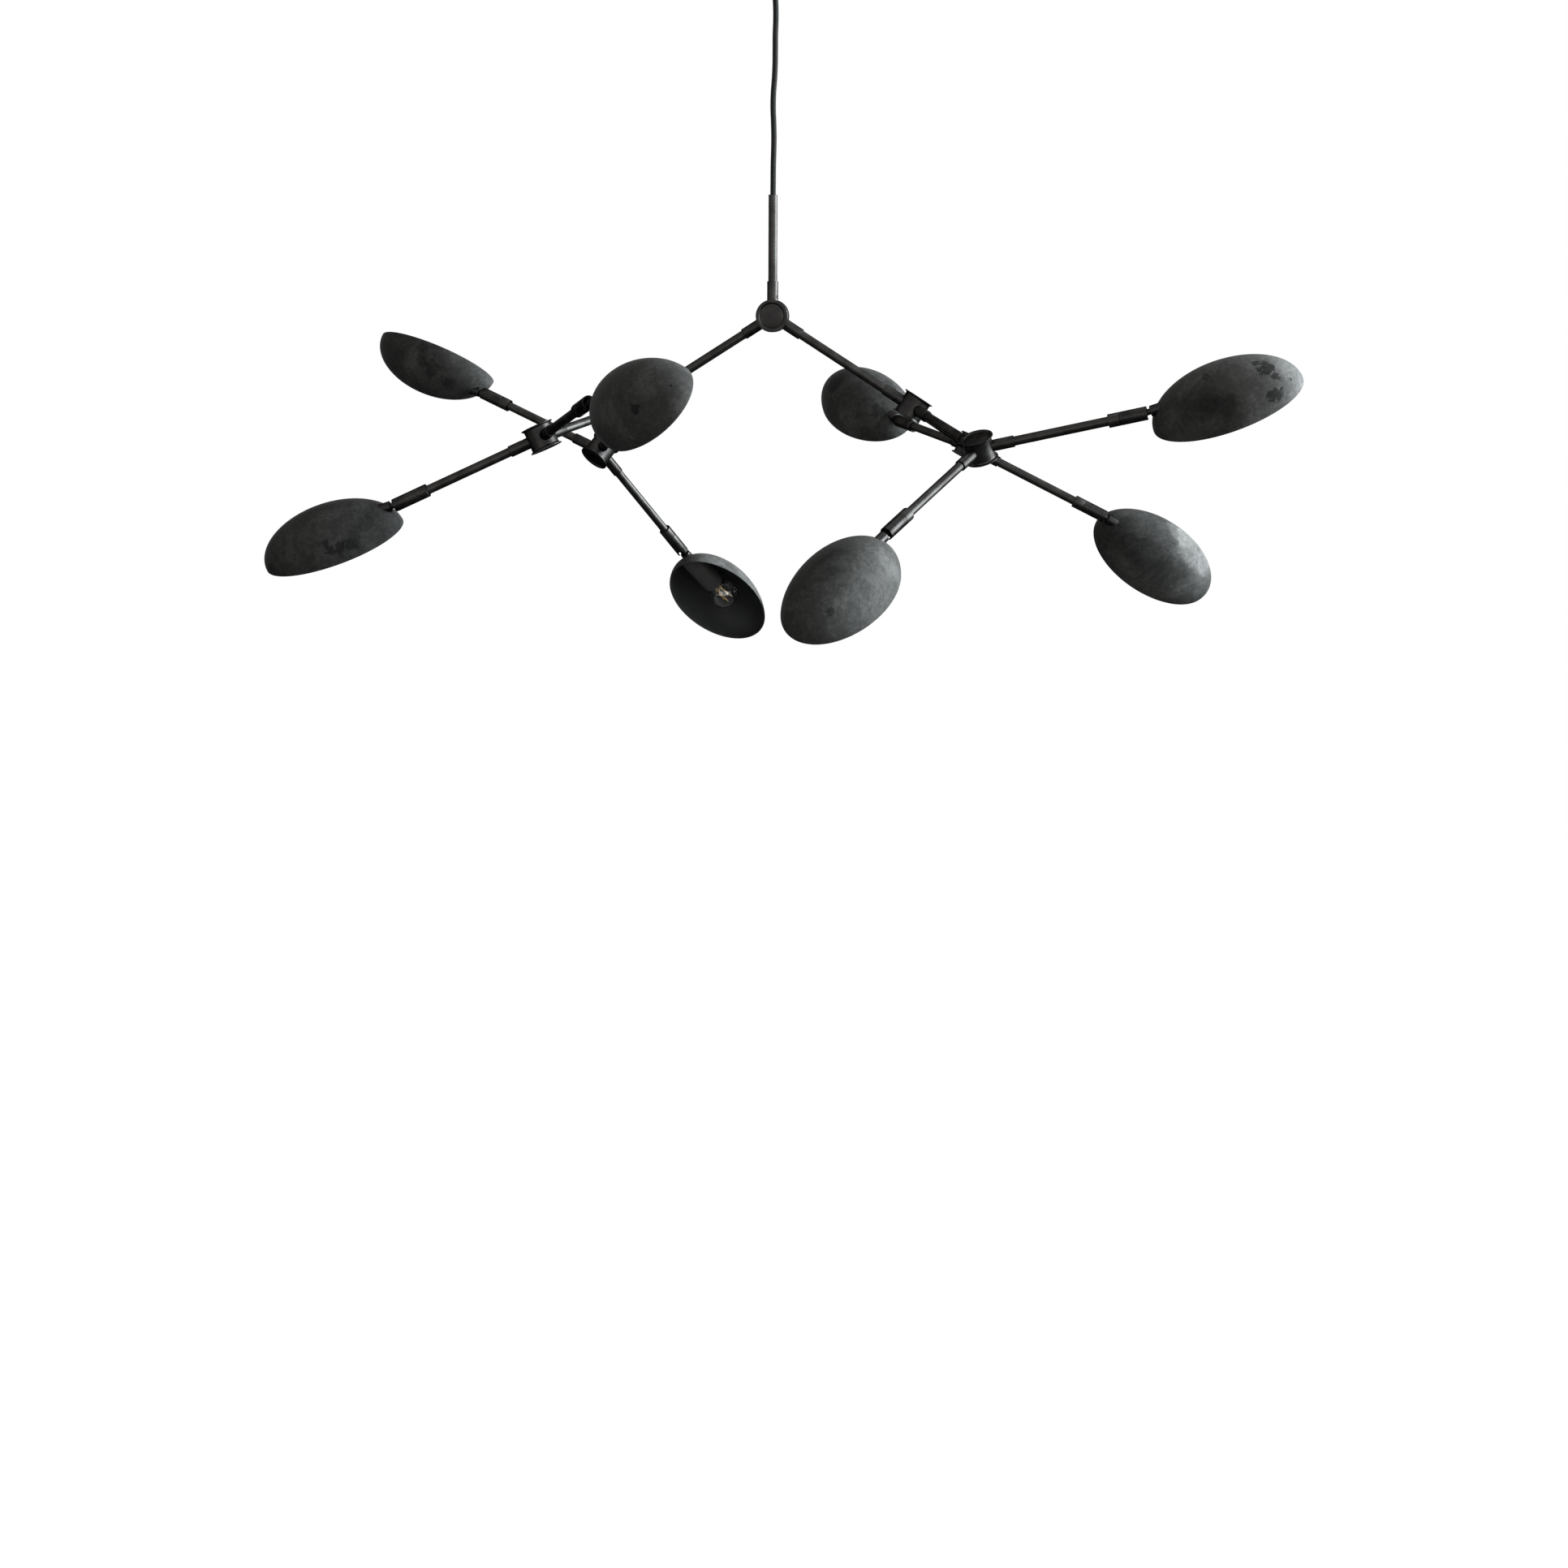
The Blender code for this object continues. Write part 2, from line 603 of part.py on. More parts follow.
def add_canopy():
    """The ceiling cup, open at the ceiling, with a hole for the gland."""
    hole = GLAND_SHANK_RADIUS + FIT_GAP
    edge = CANOPY_EDGE_RADIUS
    inner_edge = edge - CANOPY_WALL
    inner_radius = CANOPY_RADIUS - CANOPY_WALL
    corner = (CANOPY_RADIUS - edge, edge - CANOPY_HEIGHT)
    profile = [(CANOPY_RADIUS, 0)]
    profile += arc(corner, edge, 0, -90, 3)
    profile += [(hole, -CANOPY_HEIGHT), (hole, CANOPY_WALL - CANOPY_HEIGHT)]
    profile += arc(corner, inner_edge, -90, 0, 2)
    profile += [(inner_radius, 0)]
    canopy = turned("canopy_form", profile, CANOPY_STEPS, ring=True)
    place("ceiling_canopy", baked_mesh(canopy, "ceiling_canopy"), "burnished_steel")


def add_gland():
    """The cord grip that is clamped through the canopy's floor."""
    floor = -CANOPY_HEIGHT
    nut_bottom = floor + CANOPY_WALL + FIT_GAP
    flange_top = floor - FIT_GAP
    flange_bottom = flange_top - GLAND_FLANGE_HEIGHT
    profile = [
        (0, nut_bottom + GLAND_NUT_HEIGHT),
        (GLAND_NUT_RADIUS, nut_bottom + GLAND_NUT_HEIGHT),
        (GLAND_NUT_RADIUS, nut_bottom),
        (GLAND_SHANK_RADIUS, nut_bottom),
        (GLAND_SHANK_RADIUS, flange_top),
        (GLAND_FLANGE_RADIUS, flange_top),
        (GLAND_FLANGE_RADIUS, flange_bottom),
        (GLAND_NOSE_RADIUS, floor - GLAND_LENGTH),
        (0, floor - GLAND_LENGTH),
    ]
    gland = turned("gland_form", profile, GLAND_STEPS)
    place("canopy_cord_grip", baked_mesh(gland, "canopy_cord_grip"), "burnished_steel")


def add_bracket():
    """The ceiling strip whose two bent ears stand inside the canopy's wall."""
    facet_radius = (CANOPY_RADIUS - CANOPY_WALL) * math.cos(math.pi / CANOPY_STEPS)
    reach = math.sqrt(facet_radius ** 2 - (BRACKET_WIDTH / 2) ** 2) - FIT_GAP
    inner = reach - BRACKET_THICKNESS
    outline = [
        (-reach, 0), (reach, 0), (reach, -BRACKET_EAR), (inner, -BRACKET_EAR),
        (inner, -BRACKET_THICKNESS), (-inner, -BRACKET_THICKNESS),
        (-inner, -BRACKET_EAR), (-reach, -BRACKET_EAR),
    ]
    curve = bpy.data.curves.new("bracket_form", 'CURVE')
    curve.dimensions = '2D'
    curve.fill_mode = 'BOTH'
    curve.extrude = BRACKET_WIDTH / 2
    spline = curve.splines.new('POLY')
    spline.points.add(len(outline) - 1)
    spline.use_cyclic_u = True
    for spot, (x, y) in zip(spline.points, outline):
        spot.co = (x, y, 0, 1)
    mesh = baked_mesh(guide("bracket_form", curve), "ceiling_bracket")
    bm = bmesh.new()
    bm.from_mesh(mesh)
    bmesh.ops.remove_doubles(bm, verts=bm.verts, dist=MERGE_DISTANCE)
    bmesh.ops.recalc_face_normals(bm, faces=bm.faces)
    bm.to_mesh(mesh)
    bm.free()
    upright = Matrix.Rotation(math.radians(90), 4, 'X')
    place("ceiling_bracket", mesh, "burnished_steel", matrix=upright)


clear_scene()
light = make_collection("branching_ceiling_light")
guides = make_collection("cutters_and_patterns")
finishes = {name: make_finish(name) for name in FINISHES}
add_bracket()
add_canopy()
add_gland()
add_cable()
add_stem()
add_lamps(add_hubs_and_arms())
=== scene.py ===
"""Finish of a branching ceiling light: turned hubs, burnished tubes, patinated shades, globe bulbs.

The sizes repeat those of the frame, in metres, with the ceiling at z = 0. The tree of hubs and
arms is worked out from a few lengths and angles, and every repeated piece is made once, along
its own axis, and then set in its places.
"""

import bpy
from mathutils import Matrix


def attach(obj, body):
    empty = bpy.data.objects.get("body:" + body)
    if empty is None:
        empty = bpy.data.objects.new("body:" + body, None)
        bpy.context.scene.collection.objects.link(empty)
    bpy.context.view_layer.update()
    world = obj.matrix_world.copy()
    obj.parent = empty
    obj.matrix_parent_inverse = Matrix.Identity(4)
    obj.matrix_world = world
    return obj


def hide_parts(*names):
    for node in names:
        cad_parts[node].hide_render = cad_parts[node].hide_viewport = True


bl_info = {
    "name": "Branching Ceiling Light",
    "version": (1, 0, 0),
    "blender": (4, 5, 0),
    "location": "View3D > Sidebar > Ceiling Light",
    "description": "Builds the visible pieces of a branching ceiling light round its frame",
    "category": "Object",
}

import math

import bmesh
import bpy
from mathutils import Matrix, Vector

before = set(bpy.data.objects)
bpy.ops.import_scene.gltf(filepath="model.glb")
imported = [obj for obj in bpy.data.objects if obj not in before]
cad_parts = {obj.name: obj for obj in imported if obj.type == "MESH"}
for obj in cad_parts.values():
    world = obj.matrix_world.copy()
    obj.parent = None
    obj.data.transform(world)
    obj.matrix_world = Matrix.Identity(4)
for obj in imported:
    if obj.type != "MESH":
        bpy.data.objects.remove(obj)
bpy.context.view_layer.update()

IMAGE_SIZE = 1932       # pixels, both ways
FOCAL_PIXELS = 2863
SENSOR_WIDTH = 36.0     # millimetres

# Where the photograph was taken from, and the camera's own three directions
CAMERA_PLACE = (0.2649, -3.1952, -0.4822)
CAMERA_RIGHT = (0.99696, 0.07781, 0.00503)
CAMERA_UP = (-0.02022, 0.19577, 0.98044)
CAMERA_BACK = (0.0753, -0.97756, 0.19675)

TINY = 1e-6
SHARP_ANGLE = math.radians(32)
NEARLY_STRAIGHT = 0.97      # cosine past which a profile's corner isn't rounded
LONGEST_CUT = 0.45          # share of a side that its corner's rounding may take
WHITE = (1, 1, 1, 1)
ROUGHNESS_SPREAD = 0.06     # how far a finish's roughness strays to either side
YARN_PITCH = 0.00148        # metres, along and round the cable

# Turns a piece made along Z to lie across the lamp, or along a hub's socket
CROSSWISE = Matrix.Rotation(math.pi / 2, 4, 'X')
ALONG_SOCKET = Matrix.Rotation(math.pi / 2, 4, 'Y')

# Faces round the pieces that have no count among the sizes
CANOPY_STEPS = 128
INSERT_STEPS = 64
SOCKET_STEPS = 56
TUBE_STEPS = 48
NECK_STEPS = 40
PIN_STEPS = 32
SCREW_STEPS = 24
BAR_STEPS = 14
WIRE_STEPS = 10

# Every finish by its name; the cable's operator, which is the first of the pieces, fills it
finishes = {}

# Each main arm: its name, the side it goes to and how far its hub is turned about it in degrees,
# and the same for the two branch arms on that hub
MAIN_ARMS = (
    ("left", -1, 7.0, (("front", 1, -175.0), ("back", -1, 81.6))),
    ("right", 1, -3.4, (("front", 1, 46.4), ("back", -1, 166.4))),
)

# Lamp number, the hub it hangs on, the side of that hub, and swivel and tilt in degrees
LAMPS = (
    (1, "left_back", 1, 168.7, 5.7),
    (2, "left_front", 1, 152.4, 6.7),
    (3, "left_front", -1, -141.1, -13.3),
    (4, "left_back", -1, -36.2, 8.2),
    (5, "right_front", 1, 156.0, -3.3),
    (6, "right_back", 1, -57.3, 15.1),
    (7, "right_front", -1, -169.7, 8.0),
    (8, "right_back", -1, 63.5, -8.7),
)

# The cable's route, listed from the stem to the gland
CABLE_ROUTE = (
    (0.0000, 0.0000, -0.3204),
    (0.0001, 0.0000, -0.3017),
    (0.0002, 0.0002, -0.2830),
    (0.0006, 0.0006, -0.2644),
    (0.0008, 0.0010, -0.2460),
    (0.0003, 0.0010, -0.2270),
    (-0.0004, 0.0006, -0.2084),
    (0.0000, 0.0000, -0.1900),
    (0.0014, -0.0006, -0.1710),
    (0.0022, -0.0010, -0.1524),
    (0.0023, -0.0010, -0.1340),
    (0.0023, -0.0006, -0.1150),
    (0.0028, 0.0000, -0.0964),
    (0.0025, 0.0004, -0.0780),
    (0.0011, 0.0003, -0.0590),
    (0.0000, 0.0000, -0.0403),
)


# Sizes and colours that a user may change

def hex_colour(code):
    """A hex sRGB colour as linear red, green, blue and alpha."""
    channels = [int(code[i:i + 2], 16) / 255 for i in (1, 3, 5)]
    linear = [c / 12.92 if c <= 0.04045 else ((c + 0.055) / 1.055) ** 2.4 for c in channels]
    return (*linear, 1.0)


def length(label, default, note):
    """A length in metres."""
    return bpy.props.FloatProperty(
        name=label, description=note, default=default, subtype='DISTANCE', unit='LENGTH', precision=5)


def angle(label, degrees, note):
    """An angle, given here in degrees."""
    return bpy.props.FloatProperty(
        name=label, description=note, default=math.radians(degrees), subtype='ANGLE', unit='ROTATION')


def colour(label, code, note):
    """A colour, given here as a hex value."""
    return bpy.props.FloatVectorProperty(
        name=label, description=note, default=hex_colour(code), size=4, min=0, max=1, subtype='COLOR')


def count(label, default, note):
    """A number of faces or of pieces."""
    return bpy.props.IntProperty(name=label, description=note, default=default, min=3)


class TreeSizes(bpy.types.PropertyGroup):
    hanging: length("Hanging height", 0.480, "From the ceiling to the top hub's centre")
    main_arm: length("Main arm", 0.226, "From the top hub to the left and right hubs")
    branch_arm: length("Branch arm", 0.2005, "From a main hub to an end hub")
    lamp_arm: length("Lamp arm", 0.2113, "From an end hub to the tilt pin")
    slope: angle("Main arm slope", 32.3, "How far the main arms point below level")
    spread: angle("Socket spread", 60, "Between a hub's outlets and the line of its inlet")
    tube: length("Tube radius", 0.006, "Outside of the arm tubes")
    stem_top: length("Stem top", 0.1593, "From the top hub's centre to the stem's open end")
    fit: length("Fit", 0.0003, "Between two pieces that touch")


class HubSizes(bpy.types.PropertyGroup):
    flange: length("Flange radius", 0.0216, "Outside of the two discs")
    spool: length("Hub length", 0.032, "From face to face")
    lip: length("Lip", 0.0012, "Thickness of the disc's edge")
    waist: length("Waist radius", 0.0187, "The body between the discs")
    lid: length("Lid radius", 0.0160, "The cover let into each face")
    seat: length("Lid seat", 0.0026, "Depth of the seat in each face")
    sunk: length("Lid recess", 0.0011, "From the face down to the lid")
    bevel: length("Seat bevel", 0.0016, "Width of the slope round the lid")
    edge: length("Edge radius", 0.0004, "Rounding of the turned edges")
    socket: length("Socket radius", 0.0075, "Outside of a socket")
    reach: length("Socket reach", 0.046, "From the hub's centre to a socket's end")
    depth: length("Socket depth", 0.024, "How far a tube goes in")
    screw_place: length("Grub screw place", 0.0250, "From the hub's centre along a socket")
    screw: length("Grub screw radius", 0.0020, "The screw in each socket")
    inlet_screw: angle("Inlet screw turn", 57, "Round the inlet socket, from the hub's face")
    outlet_screw: angle("Outlet screw turn", 180, "Round the outlet sockets, from the hub's face")
    steps: count("Hub steps", 96, "Faces round the spool")


class HeadSizes(bpy.types.PropertyGroup):
    radius: length("Head radius", 0.00875, "Outside of collar and barrel")
    edge: length("Edge radius", 0.0005, "Rounding of the turned edges")
    collar: length("Collar length", 0.0145, "The fixed sleeve at the end of the tube")
    collar_mouth: length("Collar recess", 0.0022, "Depth of the groove round the tube")
    collar_wall: length("Collar wall", 0.0013, "Round the groove")
    spigot: length("Spigot radius", 0.005, "The pin that the barrel turns on")
    spigot_length: length("Spigot length", 0.0142, "Inside the barrel")
    barrel: length("Barrel length", 0.0350, "End to end")
    setback: length("Pin setback", 0.0065, "From the barrel's open end to the tilt pin")
    mouth: length("Mouth radius", 0.0068, "Inside of the barrel's open end")
    mouth_depth: length("Mouth depth", 0.0128, "Of the barrel's open end")
    notch: length("Notch half width", 0.0044, "The slot that lets the neck swing down")
    notch_back: length("Notch back", 0.0008, "How far the slot runs behind the pin")
    pin: length("Pin radius", 0.0020, "The tilt pin")
    boss: length("Boss radius", 0.0046, "The knuckle round the pin")
    boss_half: length("Boss half length", 0.0041, "Along the pin")
    neck: length("Neck radius", 0.0040, "Between knuckle and stub")
    stub: length("Stub radius", 0.0072, "The collar on the shade")
    stub_start: length("Stub start", 0.0110, "From the pin")
    steps: count("Head steps", 64, "Faces round a turned piece")


class ShadeSizes(bpy.types.PropertyGroup):
    back: length("Back", 0.096, "From the widest place to the end at the joint")
    front: length("Front", 0.099, "From the widest place to the free end")
    half_width: length("Half width", 0.059, "Across")
    depth: length("Depth", 0.057, "From rim to crown")
    lean: length("Lean", 0.002, "How far the crown stands forward")
    wall: length("Wall", 0.0015, "Thickness of the shell")
    centre: length("Centre", 0.101, "Widest place, from the tilt pin")
    drop: length("Rim drop", 0.028, "Rim plane below the lamp's axis")
    hole: length("Hole radius", 0.00515, "For the shank")
    rim_edge: length("Rim edge", 0.0003, "Rounding of the rim")
    segments: count("Segments", 144, "Faces round the rim")
    rings: count("Rings", 72, "Faces from pole to pole of the whole egg")


class HolderSizes(bpy.types.PropertyGroup):
    radius: length("Cover radius", 0.0160, "Outside of the cover")
    end: length("Cover end", 0.0900, "From the tilt pin")
    rim: length("Cover rim", 0.0030, "Round the mouth")
    mouth: length("Mouth depth", 0.0060, "In front of the cap")
    cap: length("Cap radius", 0.00675, "The bulb's screw cap")
    cap_length: length("Cap length", 0.0255, "Without its foot")
    foot: length("Foot", 0.0025, "The taper at the cap's end")
    contact: length("Contact radius", 0.0032, "The button at the cap's end")
    play: length("Play", 0.00035, "Round the cap")
    shank: length("Shank radius", 0.0048, "The tube through the shade")
    steps: count("Steps", 72, "Faces round the cover")


class BulbSizes(bpy.types.PropertyGroup):
    globe: length("Globe radius", 0.0225, "The clear globe")
    centre: length("Globe centre", 0.1190, "From the tilt pin")
    glass: length("Glass", 0.0007, "Thickness of the glass")
    neck: length("Neck radius", 0.0085, "Where the globe meets the cap")
    neck_start: length("Neck start", 0.0895, "From the tilt pin")
    bars: count("Light bars", 4, "Filament bars in a bulb")
    bar: length("Bar radius", 0.00060, "Each filament bar")
    bar_length: length("Bar length", 0.034, "Each filament bar")
    ring: length("Bar ring", 0.0042, "Radius on which the bars start")
    splay: angle("Bar splay", 4.5, "How far the bars lean out")
    mount: length("Glass mount", 0.0030, "Radius of the stem inside")
    mount_height: length("Mount height", 0.0085, "From the cap to the feet of the bars")
    steps: count("Steps", 64, "Faces round the globe")


class CeilingSizes(bpy.types.PropertyGroup):
    cable: length("Cable radius", 0.00375, "Over the braid")
    cable_steps: count("Cable steps", 40, "Faces round the cable")
    grip: length("Cord grip radius", 0.0044, "The bush in the stem's top")
    grip_length: length("Cord grip length", 0.0135, "The bush in the stem's top")
    canopy: length("Canopy radius", 0.055, "The cup at the ceiling")
    height: length("Canopy height", 0.028, "The cup at the ceiling")
    wall: length("Canopy wall", 0.0015, "The cup at the ceiling")
    edge: length("Canopy edge", 0.005, "Rounding of the cup's lower edge")
    shank: length("Gland shank", 0.005, "Through the canopy's floor")
    nut: length("Gland nut radius", 0.0085, "Inside the canopy")
    nut_height: length("Gland nut height", 0.0038, "Inside the canopy")
    flange: length("Gland flange radius", 0.009, "Under the canopy")
    flange_height: length("Gland flange height", 0.0025, "Under the canopy")
    nose: length("Gland nose radius", 0.0062, "Round the cable")
    gland: length("Gland length", 0.012, "Below the canopy")


class FinishColours(bpy.types.PropertyGroup):
    iron: colour("Iron", "#2d2d2c", "Ground of the patina")
    iron_light: colour("Iron, worn", "#383837", "Where the patina is thin")
    iron_dark: colour("Iron, dark", "#262625", "Where the patina is thicker")
    iron_stain: colour("Iron, stained", "#161616", "Stains with torn edges")
    iron_rim: colour("Iron rim", "#2f3131", "The cut edge of the shades")
    inside: colour("Inside", "#131414", "Matte lacquer inside the shades")
    steel: colour("Steel", "#353433", "Burnished steel of the drawn tubes")
    steel_dark: colour("Steel, dark", "#232221", "Where the burnish is deeper")
    turned: colour("Turned steel", "#302f2e", "Burnished steel of hubs, barrels and canopy")
    turned_dark: colour("Turned steel, dark", "#1e1d1d", "Where its burnish is deeper")
    steel_edge: colour("Steel, edge", "#909090", "Tint of the steel seen at a slant")
    holder: colour("Holder", "#2a2928", "Lampholder cover")
    braid: colour("Braid", "#0b0b0b", "Cable yarn")
    light_bar: colour("Light bar", "#c4a66a", "Phosphor on the filament bars")
    floor: colour("Floor", "#b8b8b8", "Floor of the studio")


# Where hubs, tubes and lamps are

def hub_axes(centre, incoming, across):
    """X along the arm that carries the hub, Y in the plane of its sockets, Z along its spool."""
    rotation = Matrix((incoming, across, incoming.cross(across))).transposed()
    return Matrix.Translation(centre) @ rotation.to_4x4()


def across_at(incoming, roll):
    """The direction square to the arm that faces the front, rolled about the arm."""
    front = Vector((0, -1, 0))
    level = (front - incoming * incoming.dot(front)).normalized()
    return Matrix.Rotation(math.radians(roll), 3, incoming) @ level


def outlet(incoming, across, side, spread):
    """The direction of an arm that leaves a hub to one side of the line it hangs on."""
    return incoming * math.cos(spread) + across * math.sin(spread) * side


def axes_along(start, direction):
    """A frame at a point whose Z runs along a direction."""
    return Matrix.Translation(start) @ direction.to_track_quat('Z', 'Y').to_matrix().to_4x4()


def tree_layout(sizes):
    """Hubs as {name: (axes, direction in, direction across)} and tubes as {name: (axes, length)}."""
    top = Vector((0, 0, -sizes.hanging))
    down = Vector((0, 0, -1))
    right = Vector((1, 0, 0))
    hubs = {"top_hub": (hub_axes(top, down, right), down, right)}
    tubes = {}
    for side_name, side, roll, branches in MAIN_ARMS:
        out = right * math.cos(sizes.slope) * side + down * math.sin(sizes.slope)
        centre = top + out * sizes.main_arm
        across = across_at(out, roll)
        hubs[f"{side_name}_hub"] = (hub_axes(centre, out, across), out, across)
        tubes[f"{side_name}_main_arm"] = (axes_along(top, out), sizes.main_arm)
        for branch_name, branch_side, branch_roll in branches:
            branch = outlet(out, across, branch_side, sizes.spread)
            end = centre + branch * sizes.branch_arm
            end_across = across_at(branch, branch_roll)
            name = f"{side_name}_{branch_name}"
            hubs[f"{name}_hub"] = (hub_axes(end, branch, end_across), branch, end_across)
            tubes[f"{name}_branch_arm"] = (axes_along(centre, branch), sizes.branch_arm)
    return hubs, tubes


def lamp_layout(sizes):
    """For each lamp its number, the frame of its arm and barrel, and the frame of its shade."""
    hubs, _ = tree_layout(sizes)
    places = []
    for number, hub_name, side, swivel, tilt in LAMPS:
        axes, incoming, across = hubs[f"{hub_name}_hub"]
        out = outlet(incoming, across, side, sizes.spread)
        crown = Matrix.Rotation(math.radians(swivel), 3, out) @ incoming.cross(across)
        rotation = Matrix((crown, out.cross(crown), out)).transposed().to_4x4()
        head = Matrix.Translation(axes.translation + out * sizes.lamp_arm) @ rotation
        places.append((number, head, head @ Matrix.Rotation(math.radians(tilt), 4, 'Y')))
    return places


# Meshes

def arc(centre, radius, start, end, points):
    """Profile points on a round stretch; angles are in degrees from the outward radius."""
    turns = [math.radians(start + (end - start) * i / (points - 1)) for i in range(points)]
    return [(centre[0] + radius * math.cos(t), centre[1] + radius * math.sin(t)) for t in turns]


def softened(profile, radius, points=4):
    """The profile with its corners rounded, except on the axis."""
    soft = [profile[0]]
    for before, corner, after in zip(profile, profile[1:], profile[2:]):
        here = Vector(corner)
        to_before = Vector(before) - here
        to_after = Vector(after) - here
        if here.x < TINY or abs(to_before.normalized().dot(to_after.normalized())) > NEARLY_STRAIGHT:
            soft.append(corner)
            continue
        cut = min(radius, to_before.length * LONGEST_CUT, to_after.length * LONGEST_CUT)
        start = here + to_before.normalized() * cut
        end = here + to_after.normalized() * cut
        for i in range(points):
            t = i / (points - 1)
            soft.append(tuple(start * (1 - t) ** 2 + here * 2 * t * (1 - t) + end * t ** 2))
    soft.append(profile[-1])
    return soft


def turned_mesh(name, profile, steps, ring=False):
    """A solid turned about Z from (radius, height) points given down its outer side.

    Its UV map is in metres: round the piece and along its profile.
    """
    if ring:
        profile = list(profile) + [profile[0]]
    girth = math.tau * max(radius for radius, _ in profile)
    bm = bmesh.new()
    uv = bm.loops.layers.uv.new("UVMap")
    rings = []
    for radius, height in profile:
        if radius < TINY:
            rings.append([bm.verts.new((0, 0, height))] * steps)
        else:
            turns = [math.tau * k / steps for k in range(steps)]
            rings.append([bm.verts.new((radius * math.cos(t), radius * math.sin(t), height))
                          for t in turns])
    if ring:
        rings[-1] = rings[0]
    run = 0.0
    for i, (upper, lower) in enumerate(zip(rings, rings[1:])):
        step = math.dist(profile[i], profile[i + 1])
        for k in range(steps):
            corners = {}
            for vert, turn, along in ((upper[k], k, 0), (lower[k], k, step),
                                      (lower[(k + 1) % steps], k + 1, step),
                                      (upper[(k + 1) % steps], k + 1, 0)):
                corners.setdefault(vert, (girth * turn / steps, run + along))
            if len(corners) < 3:
                continue
            face = bm.faces.new(corners)
            for loop, spot in zip(face.loops, corners.values()):
                loop[uv].uv = spot
        run += step
    return finished_mesh(name, bm)


def finished_mesh(name, bm):
    """A mesh of what was built, smooth but for its sharp edges."""
    mesh = bpy.data.meshes.new(name)
    bm.to_mesh(mesh)
    bm.free()
    smooth(mesh)
    return mesh


def smooth(mesh):
    """Shades a mesh smoothly, but for the edges past the sharp angle."""
    mesh.shade_smooth()
    mesh.set_sharp_from_angle(angle=SHARP_ANGLE)


def egg_mesh(name, sizes, grow):
    """The whole egg that the shade is half of, its sizes grown by a given amount."""
    bm = bmesh.new()
    bmesh.ops.create_uvsphere(bm, u_segments=sizes.segments, v_segments=sizes.rings, radius=1)
    for vert in bm.verts:
        along, side, up = vert.co
        reach = (sizes.front if along > 0 else sizes.back) + grow
        vert.co = Vector((
            up * (sizes.depth + grow) - sizes.drop,
            -side * (sizes.half_width + grow),
            sizes.centre + along * reach + up * sizes.lean))
    bmesh.ops.recalc_face_normals(bm, faces=bm.faces)
    return finished_mesh(name, bm)


def block_mesh(name, low, high):
    """A block between two corners, to cut with."""
    bm = bmesh.new()
    size = Matrix.Diagonal([b - a for a, b in zip(low, high)] + [1])
    middle = Matrix.Translation([(a + b) / 2 for a, b in zip(low, high)])
    bmesh.ops.create_cube(bm, size=1, matrix=middle @ size)
    return finished_mesh(name, bm)


def rod_mesh(name, radius, start, end, steps, turn=None, edge=None):
    """A round bar along Z from start to end, then turned, its rims rounded if an edge is given."""
    profile = [(0, end), (radius, end), (radius, start), (0, start)]
    mesh = turned_mesh(name, softened(profile, edge) if edge else profile, steps)
    if turn is not None:
        mesh.transform(turn)
    return mesh


def baked(obj):
    """The evaluated mesh of an object, which is then removed with its modifiers."""
    bpy.context.view_layer.update()
    evaluated = obj.evaluated_get(bpy.context.evaluated_depsgraph_get())
    mesh = bpy.data.meshes.new_from_object(evaluated)
    bpy.data.objects.remove(obj, do_unlink=True)
    return mesh


def scratch_object(mesh):
    """An object in the scene, for modifiers to work on."""
    obj = bpy.data.objects.new(mesh.name, mesh)
    bpy.context.scene.collection.objects.link(obj)
    return obj


def combined(base, *steps):
    """A mesh after one Boolean for each (operation, mesh), in order."""
    obj = scratch_object(base)
    tools = []
    for operation, mesh in steps:
        tool = scratch_object(mesh)
        tools.append(tool)
        boolean = obj.modifiers.new("Cut", 'BOOLEAN')
        boolean.operation = operation
        boolean.solver = 'EXACT'
        boolean.object = tool
    mesh = baked(obj)
    for tool in tools:
        bpy.data.objects.remove(tool, do_unlink=True)
    smooth(mesh)
    return mesh


def placed(name, pattern, matrix, finish, body, slot, *stands_for):
    """A copy of a pattern mesh set in its place, as one piece that rides on a body.

    Of several finishes, each face takes the one that its material number names.
    """
    mesh = pattern.copy()
    mesh.name = name
    mesh.transform(matrix)
    numbers = [0] * len(mesh.polygons)
    mesh.polygons.foreach_get("material_index", numbers)
    mesh.materials.clear()
    for part in [finish] if isinstance(finish, str) else finish:
        mesh.materials.append(finishes[part])
    mesh.polygons.foreach_set("material_index", numbers)
    obj = bpy.data.objects.new(name, mesh)
    bpy.context.scene.collection.objects.link(obj)
    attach(obj, body)
    if stands_for:
        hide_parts(*stands_for)
    return obj


def place_in_shades(tree, pieces):
    """Sets every (name, mesh, finish, slot, CAD pieces it stands for) at each of the eight lamps."""
    for number, _, axes in lamp_layout(tree):
        for name, mesh, finish, slot, *stands_for in pieces:
            placed(f"lamp_{number}_{name}", mesh, axes, finish, f"shade_{number}", slot,
                   *[f"lamp_{number}_{node}" for node in stands_for])


# Materials

def add_node(tree, kind, settings=None, inputs=None):
    """Adds a node, sets its fields, and sets or links its inputs by name or number.

    A node among the inputs stands for its own first output.
    """
    node = tree.nodes.new(kind)
    for field, value in (settings or {}).items():
        setattr(node, field, value)
    for key, value in (inputs or {}).items():
        if isinstance(value, bpy.types.Node):
            value = value.outputs[0]
        if isinstance(value, bpy.types.NodeSocket):
            tree.links.new(value, node.inputs[key])
        else:
            node.inputs[key].default_value = value
    return node


